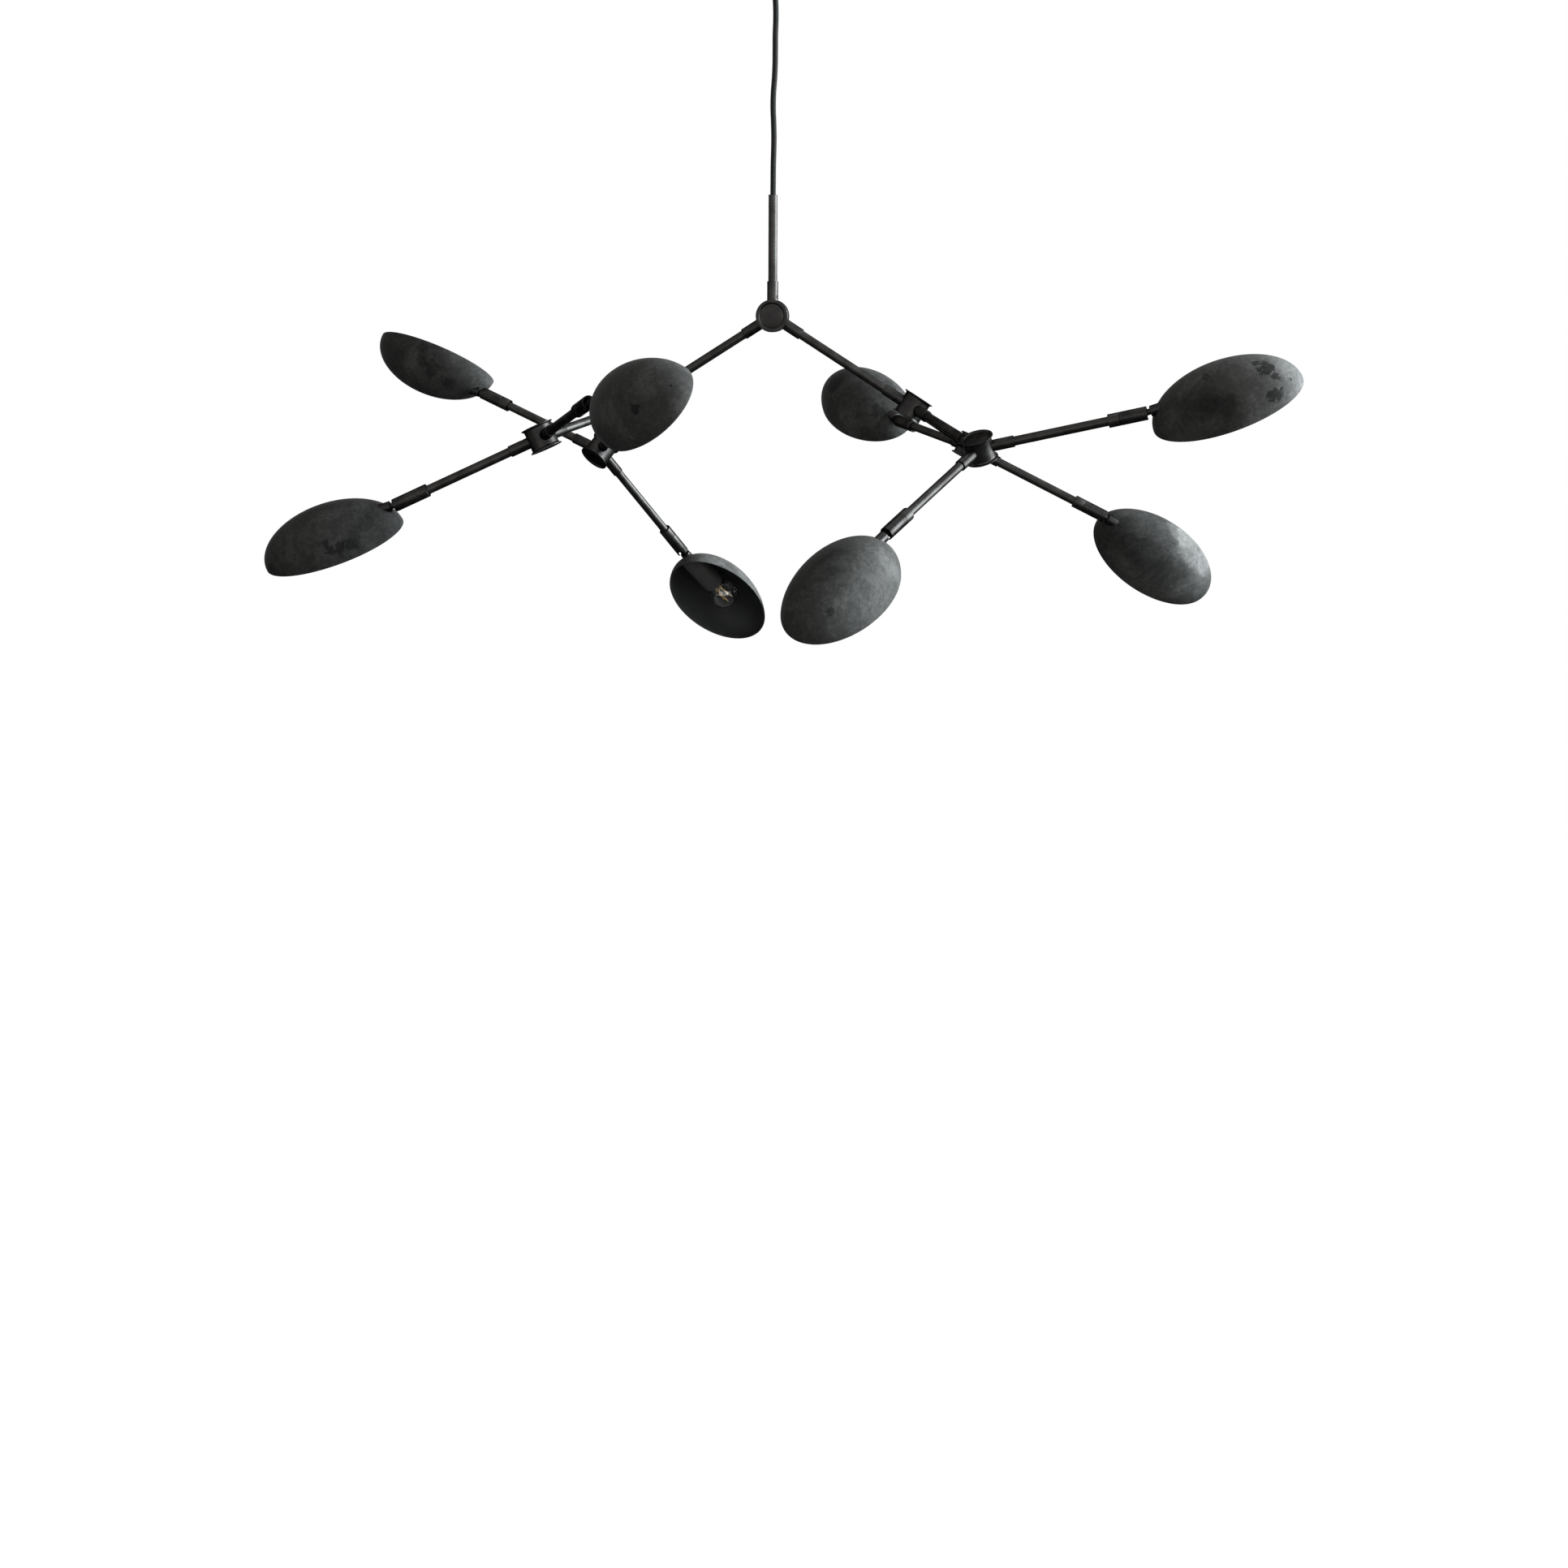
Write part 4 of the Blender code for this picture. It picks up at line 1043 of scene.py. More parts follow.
class LIGHT_OT_ceiling_fitting(PieceOperator, bpy.types.Operator):
    """Makes the canopy and gives the strip bracket its finish"""
    bl_idname = "ceiling_light.ceiling_fitting"
    bl_label = "Canopy"

    def execute(self, context):
        sizes = context.scene.ceiling_sizes
        fit = context.scene.tree_sizes.fit
        hole = sizes.shank + fit
        corner = (sizes.canopy - sizes.edge, sizes.edge - sizes.height)
        cup = [(sizes.canopy, 0)] + arc(corner, sizes.edge, 0, -90, 12)
        cup += [(hole, -sizes.height), (hole, sizes.wall - sizes.height)]
        cup += arc(corner, sizes.edge - sizes.wall, -90, 0, 10) + [(sizes.canopy - sizes.wall, 0)]
        placed("canopy_cup", turned_mesh("canopy_cup", cup, CANOPY_STEPS, ring=True), Matrix(),
               "turned_steel", "frame", "steel", "ceiling_canopy")
        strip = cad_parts["ceiling_bracket"]
        strip.data.materials.clear()
        strip.data.materials.append(finishes["bright_steel"])
        return {'FINISHED'}


class LIGHT_OT_stem(PieceOperator, bpy.types.Operator):
    """Makes the stem tube and the rubber cord grip in its top"""
    bl_idname = "ceiling_light.stem"
    bl_label = "Stem"

    def execute(self, context):
        tree = context.scene.tree_sizes
        hub = context.scene.hub_sizes
        sizes = context.scene.ceiling_sizes
        at_hub = Matrix.Translation((0, 0, -tree.hanging))
        seat = hub.reach - hub.depth + tree.fit
        bore = sizes.grip + tree.fit
        floor = tree.stem_top - sizes.grip_length - tree.fit
        stem = softened([
            (0, floor), (bore, floor), (bore, tree.stem_top), (tree.tube, tree.stem_top),
            (tree.tube, seat), (0, seat)], hub.edge)
        placed("stem", turned_mesh("stem", stem, TUBE_STEPS), at_hub, "tube_steel", "frame", "steel",
               "stem_tube")
        bush = rod_mesh("cord_bush", sizes.grip, tree.stem_top - sizes.grip_length, tree.stem_top,
                        NECK_STEPS, edge=hub.edge)
        placed("cord_bush", bush, at_hub, "black_rubber", "frame", "grip", "stem_cord_grip")
        return {'FINISHED'}


class LIGHT_OT_hubs(PieceOperator, bpy.types.Operator):
    """Turns the seven hubs, bores their sockets and sets their lids and grub screws"""
    bl_idname = "ceiling_light.hubs"
    bl_label = "Hubs"

    LID_LIFT = 0.00002      # metres between a lid and the floor of its seat

    def execute(self, context):
        tree = context.scene.tree_sizes
        sizes = context.scene.hub_sizes
        level = math.radians(90) - tree.slope
        top_hub = self.hub_mesh("top_hub_form", tree, sizes, level)
        other_hub = self.hub_mesh("hub_form", tree, sizes, tree.spread)
        lid = self.lid_mesh(sizes)
        hubs, _ = tree_layout(tree)
        screws = []
        for name, (axes, _, _) in hubs.items():
            form, spread = (top_hub, level) if name == "top_hub" else (other_hub, tree.spread)
            placed(f"{name}_body", form, axes, "turned_steel", "frame", "steel", name)
            for side, flip in (("front", Matrix()), ("back", Matrix.Rotation(math.pi, 4, 'X'))):
                placed(f"{name}_{side}_lid", lid, axes @ flip, "turned_steel", "frame", "steel")
            screws += [axes @ turn @ self.screw_seat(sizes, lean)
                       for turn, lean in self.sockets(sizes, spread)]
        self.add_screws(screws, sizes)
        return {'FINISHED'}

    def sockets(self, sizes, outlet_angle):
        """For the inlet and each outlet, its turn about the spool and where its screw sits."""
        places = ((math.pi, sizes.inlet_screw), (outlet_angle, sizes.outlet_screw),
                  (-outlet_angle, sizes.outlet_screw))
        return [(Matrix.Rotation(turn, 4, 'Z'), lean) for turn, lean in places]

    def screw_seat(self, sizes, lean):
        """From a socket along +X: the screw's frame, its Z pointing out of the socket's wall."""
        sunk = Matrix.Translation((0, 0, sizes.socket - sizes.screw))
        return Matrix.Translation((sizes.screw_place, 0, 0)) @ Matrix.Rotation(lean, 4, 'X') @ sunk

    def hub_mesh(self, name, tree, sizes, outlet_angle):
        """A spool with a coved waist and a seat in each face, its sockets bored for tube and screw."""
        half = sizes.spool / 2
        cove = sizes.flange - sizes.waist
        corner = (sizes.flange, half - sizes.lip - cove)
        seat = sizes.lid + tree.fit
        rim = softened([
            (0, half - sizes.seat), (seat, half - sizes.seat), (seat, half - sizes.sunk),
            (seat + sizes.bevel, half), (sizes.flange, half), (sizes.flange, half - sizes.lip),
            (sizes.flange - sizes.edge, half - sizes.lip)], sizes.edge)
        upper = rim + arc(corner, cove, 95, 180, 12)
        lower = [(radius, -height) for radius, height in reversed(upper)]
        spool = turned_mesh(name, upper + lower, sizes.steps)
        bore = tree.tube + tree.fit
        bored = softened([
            (0, sizes.reach + sizes.edge), (bore + sizes.edge, sizes.reach + sizes.edge),
            (bore, sizes.reach - sizes.edge), (bore, sizes.reach - sizes.depth),
            (0, sizes.reach - sizes.depth)], TINY, 2)
        sockets = self.sockets(sizes, outlet_angle)
        steps = [('UNION', rod_mesh("socket", sizes.socket, 0, sizes.reach, SOCKET_STEPS,
                                    turn @ ALONG_SOCKET, sizes.edge)) for turn, _ in sockets]
        for turn, lean in sockets:
            cutter = turned_mesh("bore", bored, SOCKET_STEPS)
            cutter.transform(turn @ ALONG_SOCKET)
            hole = rod_mesh("screw_hole", sizes.screw + tree.fit, -sizes.screw / 2, sizes.screw * 3,
                            SCREW_STEPS, turn @ self.screw_seat(sizes, lean))
            steps += [('DIFFERENCE', cutter), ('DIFFERENCE', hole)]
        return combined(spool, *steps)

    def lid_mesh(self, sizes):
        """A plain thin cover, let into the face."""
        top = sizes.spool / 2 - sizes.sunk
        under = sizes.spool / 2 - sizes.seat + self.LID_LIFT
        profile = [(0, top), (sizes.lid, top), (sizes.lid, under), (0, under)]
        return turned_mesh("hub_lid", softened(profile, sizes.edge / 2, 3), sizes.steps)

    def add_screws(self, seats, sizes):
        """All the grub screws as one piece, each aimed out of its seat."""
        bm = bmesh.new()
        for seat in seats:
            bm.verts.new(seat.to_translation())
        points = finished_mesh("screw_places", bm)
        aims = points.attributes.new("aim", 'FLOAT_VECTOR', 'POINT')
        for entry, seat in zip(aims.data, seats):
            entry.vector = seat.to_3x3() @ Vector((0, 0, 1))
        screws = run_tree(points, grub_screw_tree(), {
            "Radius": sizes.screw, "Length": sizes.screw, "Material": finishes["screw_steel"]})
        placed("grub_screws", screws, Matrix(), "screw_steel", "frame", "steel")


class LIGHT_OT_arms(PieceOperator, bpy.types.Operator):
    """Makes the main and branch arm tubes"""
    bl_idname = "ceiling_light.arms"
    bl_label = "Arm Tubes"

    def execute(self, context):
        tree = context.scene.tree_sizes
        hub = context.scene.hub_sizes
        seat = hub.reach - hub.depth + tree.fit
        _, tubes = tree_layout(tree)
        for name, (axes, run) in tubes.items():
            mesh = rod_mesh(name, tree.tube, seat, run - seat, TUBE_STEPS, edge=hub.edge)
            placed(f"{name}_tube", mesh, axes, "tube_steel", "frame", "steel", name)
        return {'FINISHED'}


class LIGHT_OT_heads(PieceOperator, bpy.types.Operator):
    """Makes the lamp arms with their collars, and the barrels that turn on them"""
    bl_idname = "ceiling_light.heads"
    bl_label = "Lamp Arms and Barrels"

    def execute(self, context):
        tree = context.scene.tree_sizes
        sizes = context.scene.head_sizes
        arm = self.arm_mesh(tree, context.scene.hub_sizes, sizes)
        barrel = self.barrel_mesh(tree, sizes)
        half = sizes.radius - sizes.edge
        pin = rod_mesh("pivot_pin", sizes.pin, -half, half, PIN_STEPS, CROSSWISE, sizes.edge)
        for number, axes, _ in lamp_layout(tree):
            lamp, head = f"lamp_{number}", f"head_{number}"
            placed(f"{lamp}_arm_and_collar", arm, axes, "tube_steel", "frame", "steel", f"{lamp}_arm")
            placed(f"{lamp}_barrel", barrel, axes, "turned_steel", head, "steel", f"{lamp}_swivel_barrel")
            placed(f"{lamp}_pivot_pin", pin, axes, "pin_steel", head, "steel")
        return {'FINISHED'}

    def arm_mesh(self, tree, hub, sizes):
        """Tube, collar with a groove round the tube, and spigot; the tilt pin is at 0."""
        barrel_back = sizes.setback - sizes.barrel
        spigot_end = barrel_back + sizes.spigot_length
        collar_end = barrel_back - tree.fit
        collar_start = collar_end - sizes.collar
        groove = sizes.radius - sizes.collar_wall
        tube_start = hub.reach - hub.depth + tree.fit - tree.lamp_arm
        return turned_mesh("lamp_arm", softened([
            (0, spigot_end), (sizes.spigot, spigot_end), (sizes.spigot, collar_end),
            (sizes.radius, collar_end), (sizes.radius, collar_start), (groove, collar_start),
            (groove, collar_start + sizes.collar_mouth), (tree.tube, collar_start + sizes.collar_mouth),
            (tree.tube, tube_start), (0, tube_start)], sizes.edge), sizes.steps)

    def barrel_mesh(self, tree, sizes):
        """Bored for the spigot behind, open in front, with the neck's notch and the pin's hole."""
        back = sizes.setback - sizes.barrel
        mouth_floor = sizes.setback - sizes.mouth_depth
        spigot_floor = back + sizes.spigot_length + tree.fit
        bore = sizes.spigot + tree.fit
        body = turned_mesh("barrel", softened([
            (0, mouth_floor), (sizes.mouth, mouth_floor), (sizes.mouth, sizes.setback),
            (sizes.radius, sizes.setback), (sizes.radius, back), (bore, back), (bore, spigot_floor),
            (0, spigot_floor)], sizes.edge), sizes.steps)
        centre = sizes.notch - sizes.notch_back
        out = sizes.radius * 1.5
        sideways = Matrix.Translation((0, 0, centre)) @ Matrix.Rotation(-math.pi / 2, 4, 'Y')
        floor = rod_mesh("notch_floor", sizes.notch, 0, out, TUBE_STEPS, sideways)
        mouth = block_mesh("notch_mouth", (-out, -sizes.notch, centre), (0, sizes.notch, out))
        pin_hole = rod_mesh("pin_hole", sizes.pin + tree.fit / 2, -out, out, PIN_STEPS, CROSSWISE)
        return combined(body, ('DIFFERENCE', floor), ('DIFFERENCE', mouth), ('DIFFERENCE', pin_hole))


class LIGHT_OT_shades(PieceOperator, bpy.types.Operator):
    """Makes the eight half-egg shades, each with its own patina and its own painted light and shade"""
    bl_idname = "ceiling_light.shades"
    bl_label = "Shades"

    # Stains that stand out on each shade: share of the way from its widest place to its tip, or to
    # its joint where negative, turn round the long axis from the crown in degrees, radius in metres,
    # and strength
    STAINS = {
        1: ((-0.05, -78, 0.009, 0.45), (-0.3, -52, 0.012, 0.45), (-0.54, -33, 0.011, 0.4),
            (0.32, -53, 0.012, 0.3), (-0.1, -60, 0.010, 0.4)),
        2: ((-0.06, 68, 0.008, 0.7), (-0.18, 70, 0.009, 0.7), (-0.31, 71, 0.008, 0.7),
            (-0.41, 71, 0.006, 0.6), (-0.03, 57, 0.005, 0.6), (-0.45, 56, 0.009, 0.4),
            (-0.6, 46, 0.012, 0.35), (-0.7, 30, 0.011, 0.35), (0.85, 65, 0.006, 0.5)),
        3: ((0.57, -37, 0.007, 0.8), (0.9, 15, 0.002, 0.8), (0.33, 15, 0.003, 0.5)),
        5: ((0.63, 33, 0.006, 0.6),),
        6: ((-0.69, 20, 0.013, 0.6), (0.39, 22, 0.020, 0.8), (-0.3, -40, 0.012, 0.4)),
        7: ((0.62, -16, 0.011, 0.8), (0.65, -61, 0.010, 0.8), (0.87, -42, 0.003, 0.7),
            (0.05, -52, 0.013, 0.45), (-0.21, -55, 0.010, 0.3), (-0.11, -8, 0.007, 0.5),
            (0.5, -3, 0.006, 0.7), (0.7, -33, 0.006, 0.7)),
        8: ((-0.6, -2, 0.02, 0.25), (0.06, -16, 0.009, 0.35)),
    }

    # Pale wax and painted light: above one the gain lightens the iron as pale wax and as painted
    # highlight where the key lamp falls, below one it paints shade; the same two for the place, radius,
    # gain, and how ragged the edge is
    PAINTED_LIGHT_AND_WAX = {
        1: ((-0.92, 47, 0.04, 1.4, 0.2), (0.2, -56, 0.035, 1.35, 0.3), (-0.62, -70, 0.05, 1.5, 0.2)),
        2: ((-0.85, 55, 0.042, 0.5, 0.3), (-0.3, 82, 0.03, 0.75, 0.3), (-0.15, 35, 0.035, 1.3, 0.4)),
        3: ((0.79, 71, 0.05, 1.15, 0.0), (0.5, 10, 0.13, 1.3, 0.3)),
        4: ((-0.2, -80, 0.11, 1.8, 0.2),),
        5: ((-0.39, 51, 0.11, 1.35, 0.5), (0.02, -6, 0.035, 0.63, 0.4), (0.25, 12, 0.026, 0.8, 0.4),
            (0.68, 48, 0.045, 1.2, 0.3), (-0.55, 42, 0.03, 1.3, 0.3), (-0.1, 12, 0.02, 1.2, 0.4)),
        6: ((-0.25, 82, 0.045, 1.7, 0.2), (-0.5, 40, 0.02, 0.85, 0.3)),
        7: ((0.98, 0, 0.05, 1.3, 0.2), (0.25, -30, 0.13, 1.55, 0.4), (0.75, -35, 0.07, 1.3, 0.3),
            (0.34, -5, 0.03, 1.3, 0.5), (-0.24, -66, 0.055, 0.55, 0.4), (0.1, -30, 0.025, 1.2, 0.5),
            (-0.3, -25, 0.04, 0.85, 0.4), (0.33, -47, 0.02, 1.2, 0.4)),
        8: ((0.45, 32, 0.047, 2.1, 0.8), (0.16, 38, 0.032, 1.75, 0.8), (-0.2, 2, 0.03, 0.68, 0.6),
            (-0.75, -30, 0.045, 0.6, 0.2), (-0.26, -32, 0.035, 0.56, 0.4), (0.2, -34, 0.036, 0.62, 0.4),
            (0.22, -78, 0.055, 1.95, 0.3), (0.6, -58, 0.035, 1.25, 0.4), (0.22, -3, 0.02, 1.25, 0.4),
            (-0.3, -62, 0.02, 1.15, 0.4), (0.62, -22, 0.035, 1.12, 0.4)),
    }

    # How far the mottle is shifted from one shade to the next, so that no two are alike
    SHIFT = (0.731, 0.377, 0)

    def execute(self, context):
        scene = context.scene
        sizes = scene.shade_sizes
        shell = self.shell_mesh(sizes)
        for number, _, shade in lamp_layout(scene.tree_sizes):
            # The stains, and the pale wax with painted highlight and shade, go from the shade's own
            # measure into the frame
            marks = [[(shade @ self.on_shade(sizes, along, turn), *rest)
                      for along, turn, *rest in table.get(number, ())]
                     for table in (self.STAINS, self.PAINTED_LIGHT_AND_WAX)]
            iron = f"patinated_iron_with_painted_light_{number}"
            seed = [number * shift for shift in self.SHIFT]
            finishes[iron] = patinated_iron_with_painted_light(scene.light_colours, iron, seed, *marks)
            placed(f"lamp_{number}_shell", shell, shade, [iron, "inside_black", "cut_edge"],
                   f"shade_{number}", "iron", f"lamp_{number}_shade")
        return {'FINISHED'}

    def on_shade(self, sizes, along, turn):
        """A point on the shell's outside, in the lamp's own axes."""
        reach = sizes.front if along > 0 else sizes.back
        round_it = math.sqrt(1 - along ** 2)
        up = round_it * math.cos(math.radians(turn))
        side = round_it * math.sin(math.radians(turn))
        return Vector((up * sizes.depth - sizes.drop, -side * sizes.half_width,
                       sizes.centre + along * reach + up * sizes.lean))

    def shell_mesh(self, sizes):
        """The half egg given its wall and a soft rim, with the shank's hole in its closed end.

        Outside, inside and rim get three material numbers; any three finishes hold their places.
        """
        surface = run_tree(bpy.data.meshes.new("shell"), shade_tree(), {
            "Segments": sizes.segments, "Rings": sizes.rings, "Back": sizes.back, "Front": sizes.front,
            "Half Width": sizes.half_width, "Depth": sizes.depth, "Lean": sizes.lean,
            "Centre": sizes.centre, "Rim Drop": sizes.drop, "Material": finishes["holder_paint"]})
        surface.materials.clear()
        for name in ("holder_paint", "inside_black", "cut_edge"):
            surface.materials.append(finishes[name])
        obj = scratch_object(surface)
        wall = obj.modifiers.new("Wall", 'SOLIDIFY')
        wall.thickness = sizes.wall
        wall.offset = -1
        wall.use_even_offset = True
        wall.material_offset = 1
        wall.material_offset_rim = 2
        bevel = obj.modifiers.new("Rim", 'BEVEL')
        bevel.width = sizes.rim_edge
        bevel.segments = 2
        bevel.limit_method = 'ANGLE'
        bevel.angle_limit = math.radians(60)
        hole = rod_mesh("shank_hole", sizes.hole, 0, sizes.centre / 2, NECK_STEPS)
        return combined(baked(obj), ('DIFFERENCE', hole))


class LIGHT_OT_lampholders(PieceOperator, bpy.types.Operator):
    """Makes the knuckle, neck and stub outside each shade and the lampholder inside it"""
    bl_idname = "ceiling_light.lampholders"
    bl_label = "Lampholders"

    COVER_EDGE = 0.0008
    INSERT_EDGE = 0.0006

    def execute(self, context):
        scene = context.scene
        head, shade, sizes = scene.head_sizes, scene.shade_sizes, scene.holder_sizes
        fit = scene.tree_sizes.fit
        place_in_shades(scene.tree_sizes, (
            ("holder_cover", self.cover_mesh(shade, sizes, fit), "holder_paint", "holder", "lampholder"),
            ("knuckle", self.knuckle_mesh(head, fit), "turned_steel", "steel"),
            ("stub", self.stub_mesh(head, shade, fit), "turned_steel", "steel"),
            ("holder_insert", self.insert_mesh(sizes), "phenolic", "holder")))
        return {'FINISHED'}

    def knuckle_mesh(self, head, fit):
        """The boss on the tilt pin, with the neck that leaves through the barrel's notch."""
        boss = rod_mesh("boss", head.boss, -head.boss_half, head.boss_half, TUBE_STEPS, CROSSWISE,
                        head.edge)
        neck = rod_mesh("neck", head.neck, head.pin, head.stub_start + fit, NECK_STEPS)
        bore = rod_mesh("pin_bore", head.pin + fit, -head.boss, head.boss, PIN_STEPS, CROSSWISE)
        return combined(boss, ('UNION', neck), ('DIFFERENCE', bore))

    def stub_mesh(self, head, shade, fit):
        """A collar whose far end is shaped to the outside of the shade."""
        end = shade.centre - shade.back / 2
        body = turned_mesh("stub", softened([
            (0, end), (head.stub, end), (head.stub, head.stub_start), (0, head.stub_start)],
            head.edge * 2, 6), head.steps)
        return combined(body, ('DIFFERENCE', egg_mesh("outside_of_shade", shade, fit / 3)))

    def cover_mesh(self, shade, sizes, fit):
        """A plain cup round the holder, its closed end shaped to the inside of the shade."""
        back = shade.centre - shade.back
        cap_floor = sizes.end - sizes.cap_length - sizes.foot - fit
        bore = sizes.radius - sizes.rim
        body = turned_mesh("holder_cover", softened([
            (0, cap_floor), (bore, cap_floor), (bore, sizes.end), (sizes.radius, sizes.end),
            (sizes.radius, back), (0, back)], self.COVER_EDGE), sizes.steps)
        inside = egg_mesh("inside_of_shade", shade, -shade.wall - fit / 3)
        return combined(body, ('INTERSECT', inside))

    def insert_mesh(self, sizes):
        """The moulded socket body inside the cover, open in the middle for the bulb's cap."""
        outer = sizes.radius - sizes.rim - sizes.play
        start = sizes.end - sizes.cap_length
        top = sizes.end - sizes.mouth
        inner = sizes.cap + sizes.play
        profile = softened([(inner, top), (outer, top), (outer, start), (inner, start), (inner, top)],
                           self.INSERT_EDGE)
        return turned_mesh("holder_insert", profile[:-1], INSERT_STEPS, ring=True)


class LIGHT_OT_bulbs(PieceOperator, bpy.types.Operator):
    """Makes the clear globes with their caps, glass mounts and filament bars"""
    bl_idname = "ceiling_light.bulbs"
    bl_label = "Bulbs"

    NECK_FILLET = 0.006
    THREAD_PITCH = 0.0028
    THREAD_TURNS = 7
    THREAD_DEPTH = 0.0005
    THREAD_START = 0.0035
    THREAD_EDGE = 0.0004
    MOUNT_LIFT = 0.0015
    MOUNT_FLARE = 0.004
    MOUNT_EDGE = 0.0008
    MOUNT_TOP_SHARE = 0.55      # of the mount's radius
    MOUNT_FOOT_SHARE = 0.82     # of the globe's neck
    WIRE = 0.0002
    WIRE_DIP = 0.0025
    WIRE_ROOT_SHARE = 0.4       # of the mount's radius

    def execute(self, context):
        scene = context.scene
        sizes, holder = scene.bulb_sizes, scene.holder_sizes
        place_in_shades(scene.tree_sizes, (
            ("globe", self.globe_mesh(sizes), "glass", "glass", "bulb"),
            ("bulb_cap", self.cap_mesh(holder), "cap_nickel", "steel"),
            ("glass_mount", self.mount_mesh(sizes), "mount_glass", "glass"),
            ("light_bars", self.bar_mesh(sizes), "light_bar", "glass"),
            ("lead_wires", self.wire_mesh(sizes), "bright_steel", "steel")))
        return {'FINISHED'}

    def globe_mesh(self, sizes):
        """A closed skin of glass, its neck drawn in to the cap.

        Outside, the ball stops 18 degrees short of the neck, and a fillet leads on to it. Inside,
        it stops 15 degrees short.
        """
        turn = math.degrees(math.acos(sizes.neck / sizes.globe))
        outer = arc((0, sizes.centre), sizes.globe, 90, 18 - turn, 34)
        outer[0] = (0, sizes.centre + sizes.globe)
        waist = sizes.centre - math.sqrt(sizes.globe ** 2 - sizes.neck ** 2)
        outer += arc((sizes.neck + self.NECK_FILLET, waist + 0.0005), self.NECK_FILLET, 150, 180, 6)
        outer += [(sizes.neck, sizes.neck_start)]
        inner_neck = sizes.neck - sizes.glass
        inner = [(inner_neck, sizes.neck_start), (inner_neck, waist)]
        inner += arc((0, sizes.centre), sizes.globe - sizes.glass, 15 - turn, 90, 32)
        inner[-1] = (0, sizes.centre + sizes.globe - sizes.glass)
        return turned_mesh("globe", outer + inner, sizes.steps)

    def cap_mesh(self, holder):
        """A screw cap with a rolled thread, drawn as rings 2.8 mm apart."""
        foot = holder.end - holder.cap_length - holder.foot
        profile = [(0, holder.end), (holder.cap, holder.end)]
        for i in range(self.THREAD_TURNS):
            crest = holder.end - self.THREAD_START - self.THREAD_PITCH * i
            root = (holder.cap - self.THREAD_DEPTH, crest - self.THREAD_PITCH / 2)
            profile += [(holder.cap, crest), root]
        profile += [(holder.cap, foot + holder.foot), (holder.contact, foot), (0, foot)]
        return turned_mesh("bulb_cap", softened(profile, self.THREAD_EDGE, 3), TUBE_STEPS)

    def mount_mesh(self, sizes):
        """The flared glass stem that carries the bars."""
        start = sizes.neck_start + self.MOUNT_LIFT
        top = sizes.neck_start + sizes.mount_height + self.MOUNT_LIFT
        return turned_mesh("glass_mount", softened([
            (0, top), (sizes.mount * self.MOUNT_TOP_SHARE, top),
            (sizes.mount, start + self.MOUNT_FLARE), (sizes.neck * self.MOUNT_FOOT_SHARE, start),
            (0, start)], self.MOUNT_EDGE, 5), NECK_STEPS)

    def bar_mesh(self, sizes):
        """The filament bars of one bulb."""
        return run_tree(bpy.data.meshes.new("light_bars"), light_bar_tree(), {
            "Bars": sizes.bars, "Ring": sizes.ring, "Bar Radius": sizes.bar,
            "Bar Length": sizes.bar_length, "Splay": sizes.splay,
            "Start": sizes.neck_start + sizes.mount_height, "Material": finishes["light_bar"]})

    def wire_mesh(self, sizes):
        """A wire from the mount out to the foot of each bar."""
        start = sizes.neck_start + sizes.mount_height
        foot = Vector((sizes.ring, 0, start))
        root = Vector((sizes.mount * self.WIRE_ROOT_SHARE, 0, start - self.WIRE_DIP))
        run = (foot - root).length
        wire = axes_along(root, (foot - root).normalized()) @ Matrix.Translation((0, 0, run / 2))
        bm = bmesh.new()
        for i in range(sizes.bars):
            turn = Matrix.Rotation(math.tau * i / sizes.bars, 4, 'Z')
            bmesh.ops.create_cone(bm, cap_ends=True, segments=WIRE_STEPS, radius1=self.WIRE,
                                  radius2=self.WIRE, depth=run, matrix=turn @ wire)
        return finished_mesh("lead_wires", bm)


# Panel and registration

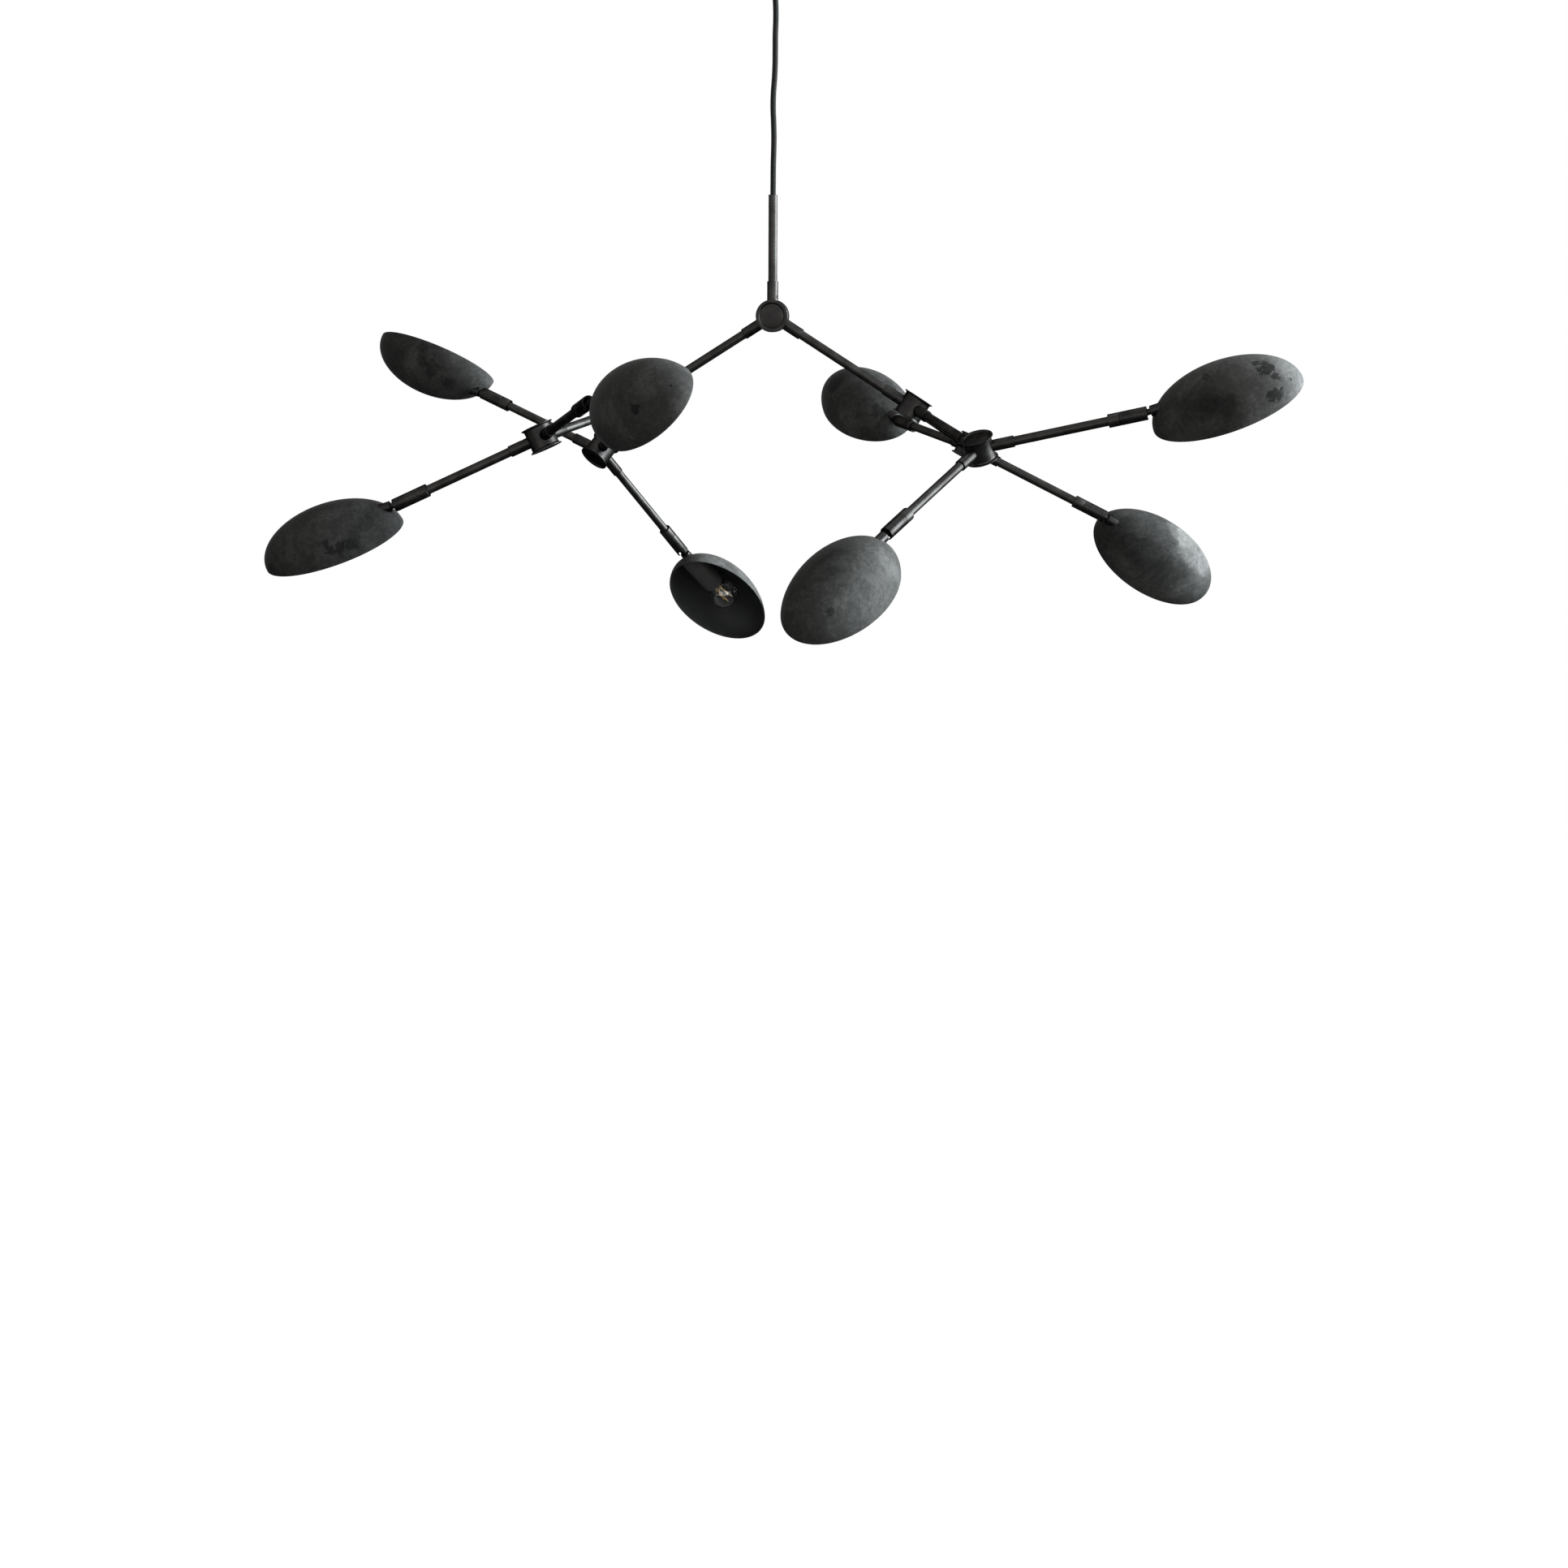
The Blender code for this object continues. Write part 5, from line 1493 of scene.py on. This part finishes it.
class LIGHT_PT_panel(bpy.types.Panel):
    """The light's pieces, in the order in which they are made"""
    bl_idname = "LIGHT_PT_panel"
    bl_label = "Ceiling Light"
    bl_space_type = 'VIEW_3D'
    bl_region_type = 'UI'
    bl_category = "Ceiling Light"

    def draw(self, context):
        for operator in OPERATORS:
            self.layout.operator(operator.bl_idname)


SIZE_GROUPS = {
    "tree_sizes": TreeSizes,
    "hub_sizes": HubSizes,
    "head_sizes": HeadSizes,
    "shade_sizes": ShadeSizes,
    "holder_sizes": HolderSizes,
    "bulb_sizes": BulbSizes,
    "ceiling_sizes": CeilingSizes,
    "light_colours": FinishColours,
}

OPERATORS = (
    LIGHT_OT_stage,
    LIGHT_OT_cable,
    LIGHT_OT_ceiling_fitting,
    LIGHT_OT_stem,
    LIGHT_OT_hubs,
    LIGHT_OT_arms,
    LIGHT_OT_heads,
    LIGHT_OT_shades,
    LIGHT_OT_lampholders,
    LIGHT_OT_bulbs,
)


def register():
    """Adds the classes to Blender, and the sizes and colours to its scenes."""
    for name, group in SIZE_GROUPS.items():
        bpy.utils.register_class(group)
        setattr(bpy.types.Scene, name, bpy.props.PointerProperty(type=group))
    for cls in (*OPERATORS, LIGHT_PT_panel):
        bpy.utils.register_class(cls)


def unregister():
    """Takes away what register added."""
    for cls in (LIGHT_PT_panel, *reversed(OPERATORS)):
        bpy.utils.unregister_class(cls)
    for name, group in reversed(SIZE_GROUPS.items()):
        delattr(bpy.types.Scene, name)
        bpy.utils.unregister_class(group)


def main():
    """Makes every piece in order."""
    register()
    bpy.ops.ceiling_light.stage()
    bpy.ops.ceiling_light.cable()
    bpy.ops.ceiling_light.ceiling_fitting()
    bpy.ops.ceiling_light.stem()
    bpy.ops.ceiling_light.hubs()
    bpy.ops.ceiling_light.arms()
    bpy.ops.ceiling_light.heads()
    bpy.ops.ceiling_light.shades()
    bpy.ops.ceiling_light.lampholders()
    bpy.ops.ceiling_light.bulbs()


if __name__ == "__main__":
    main()
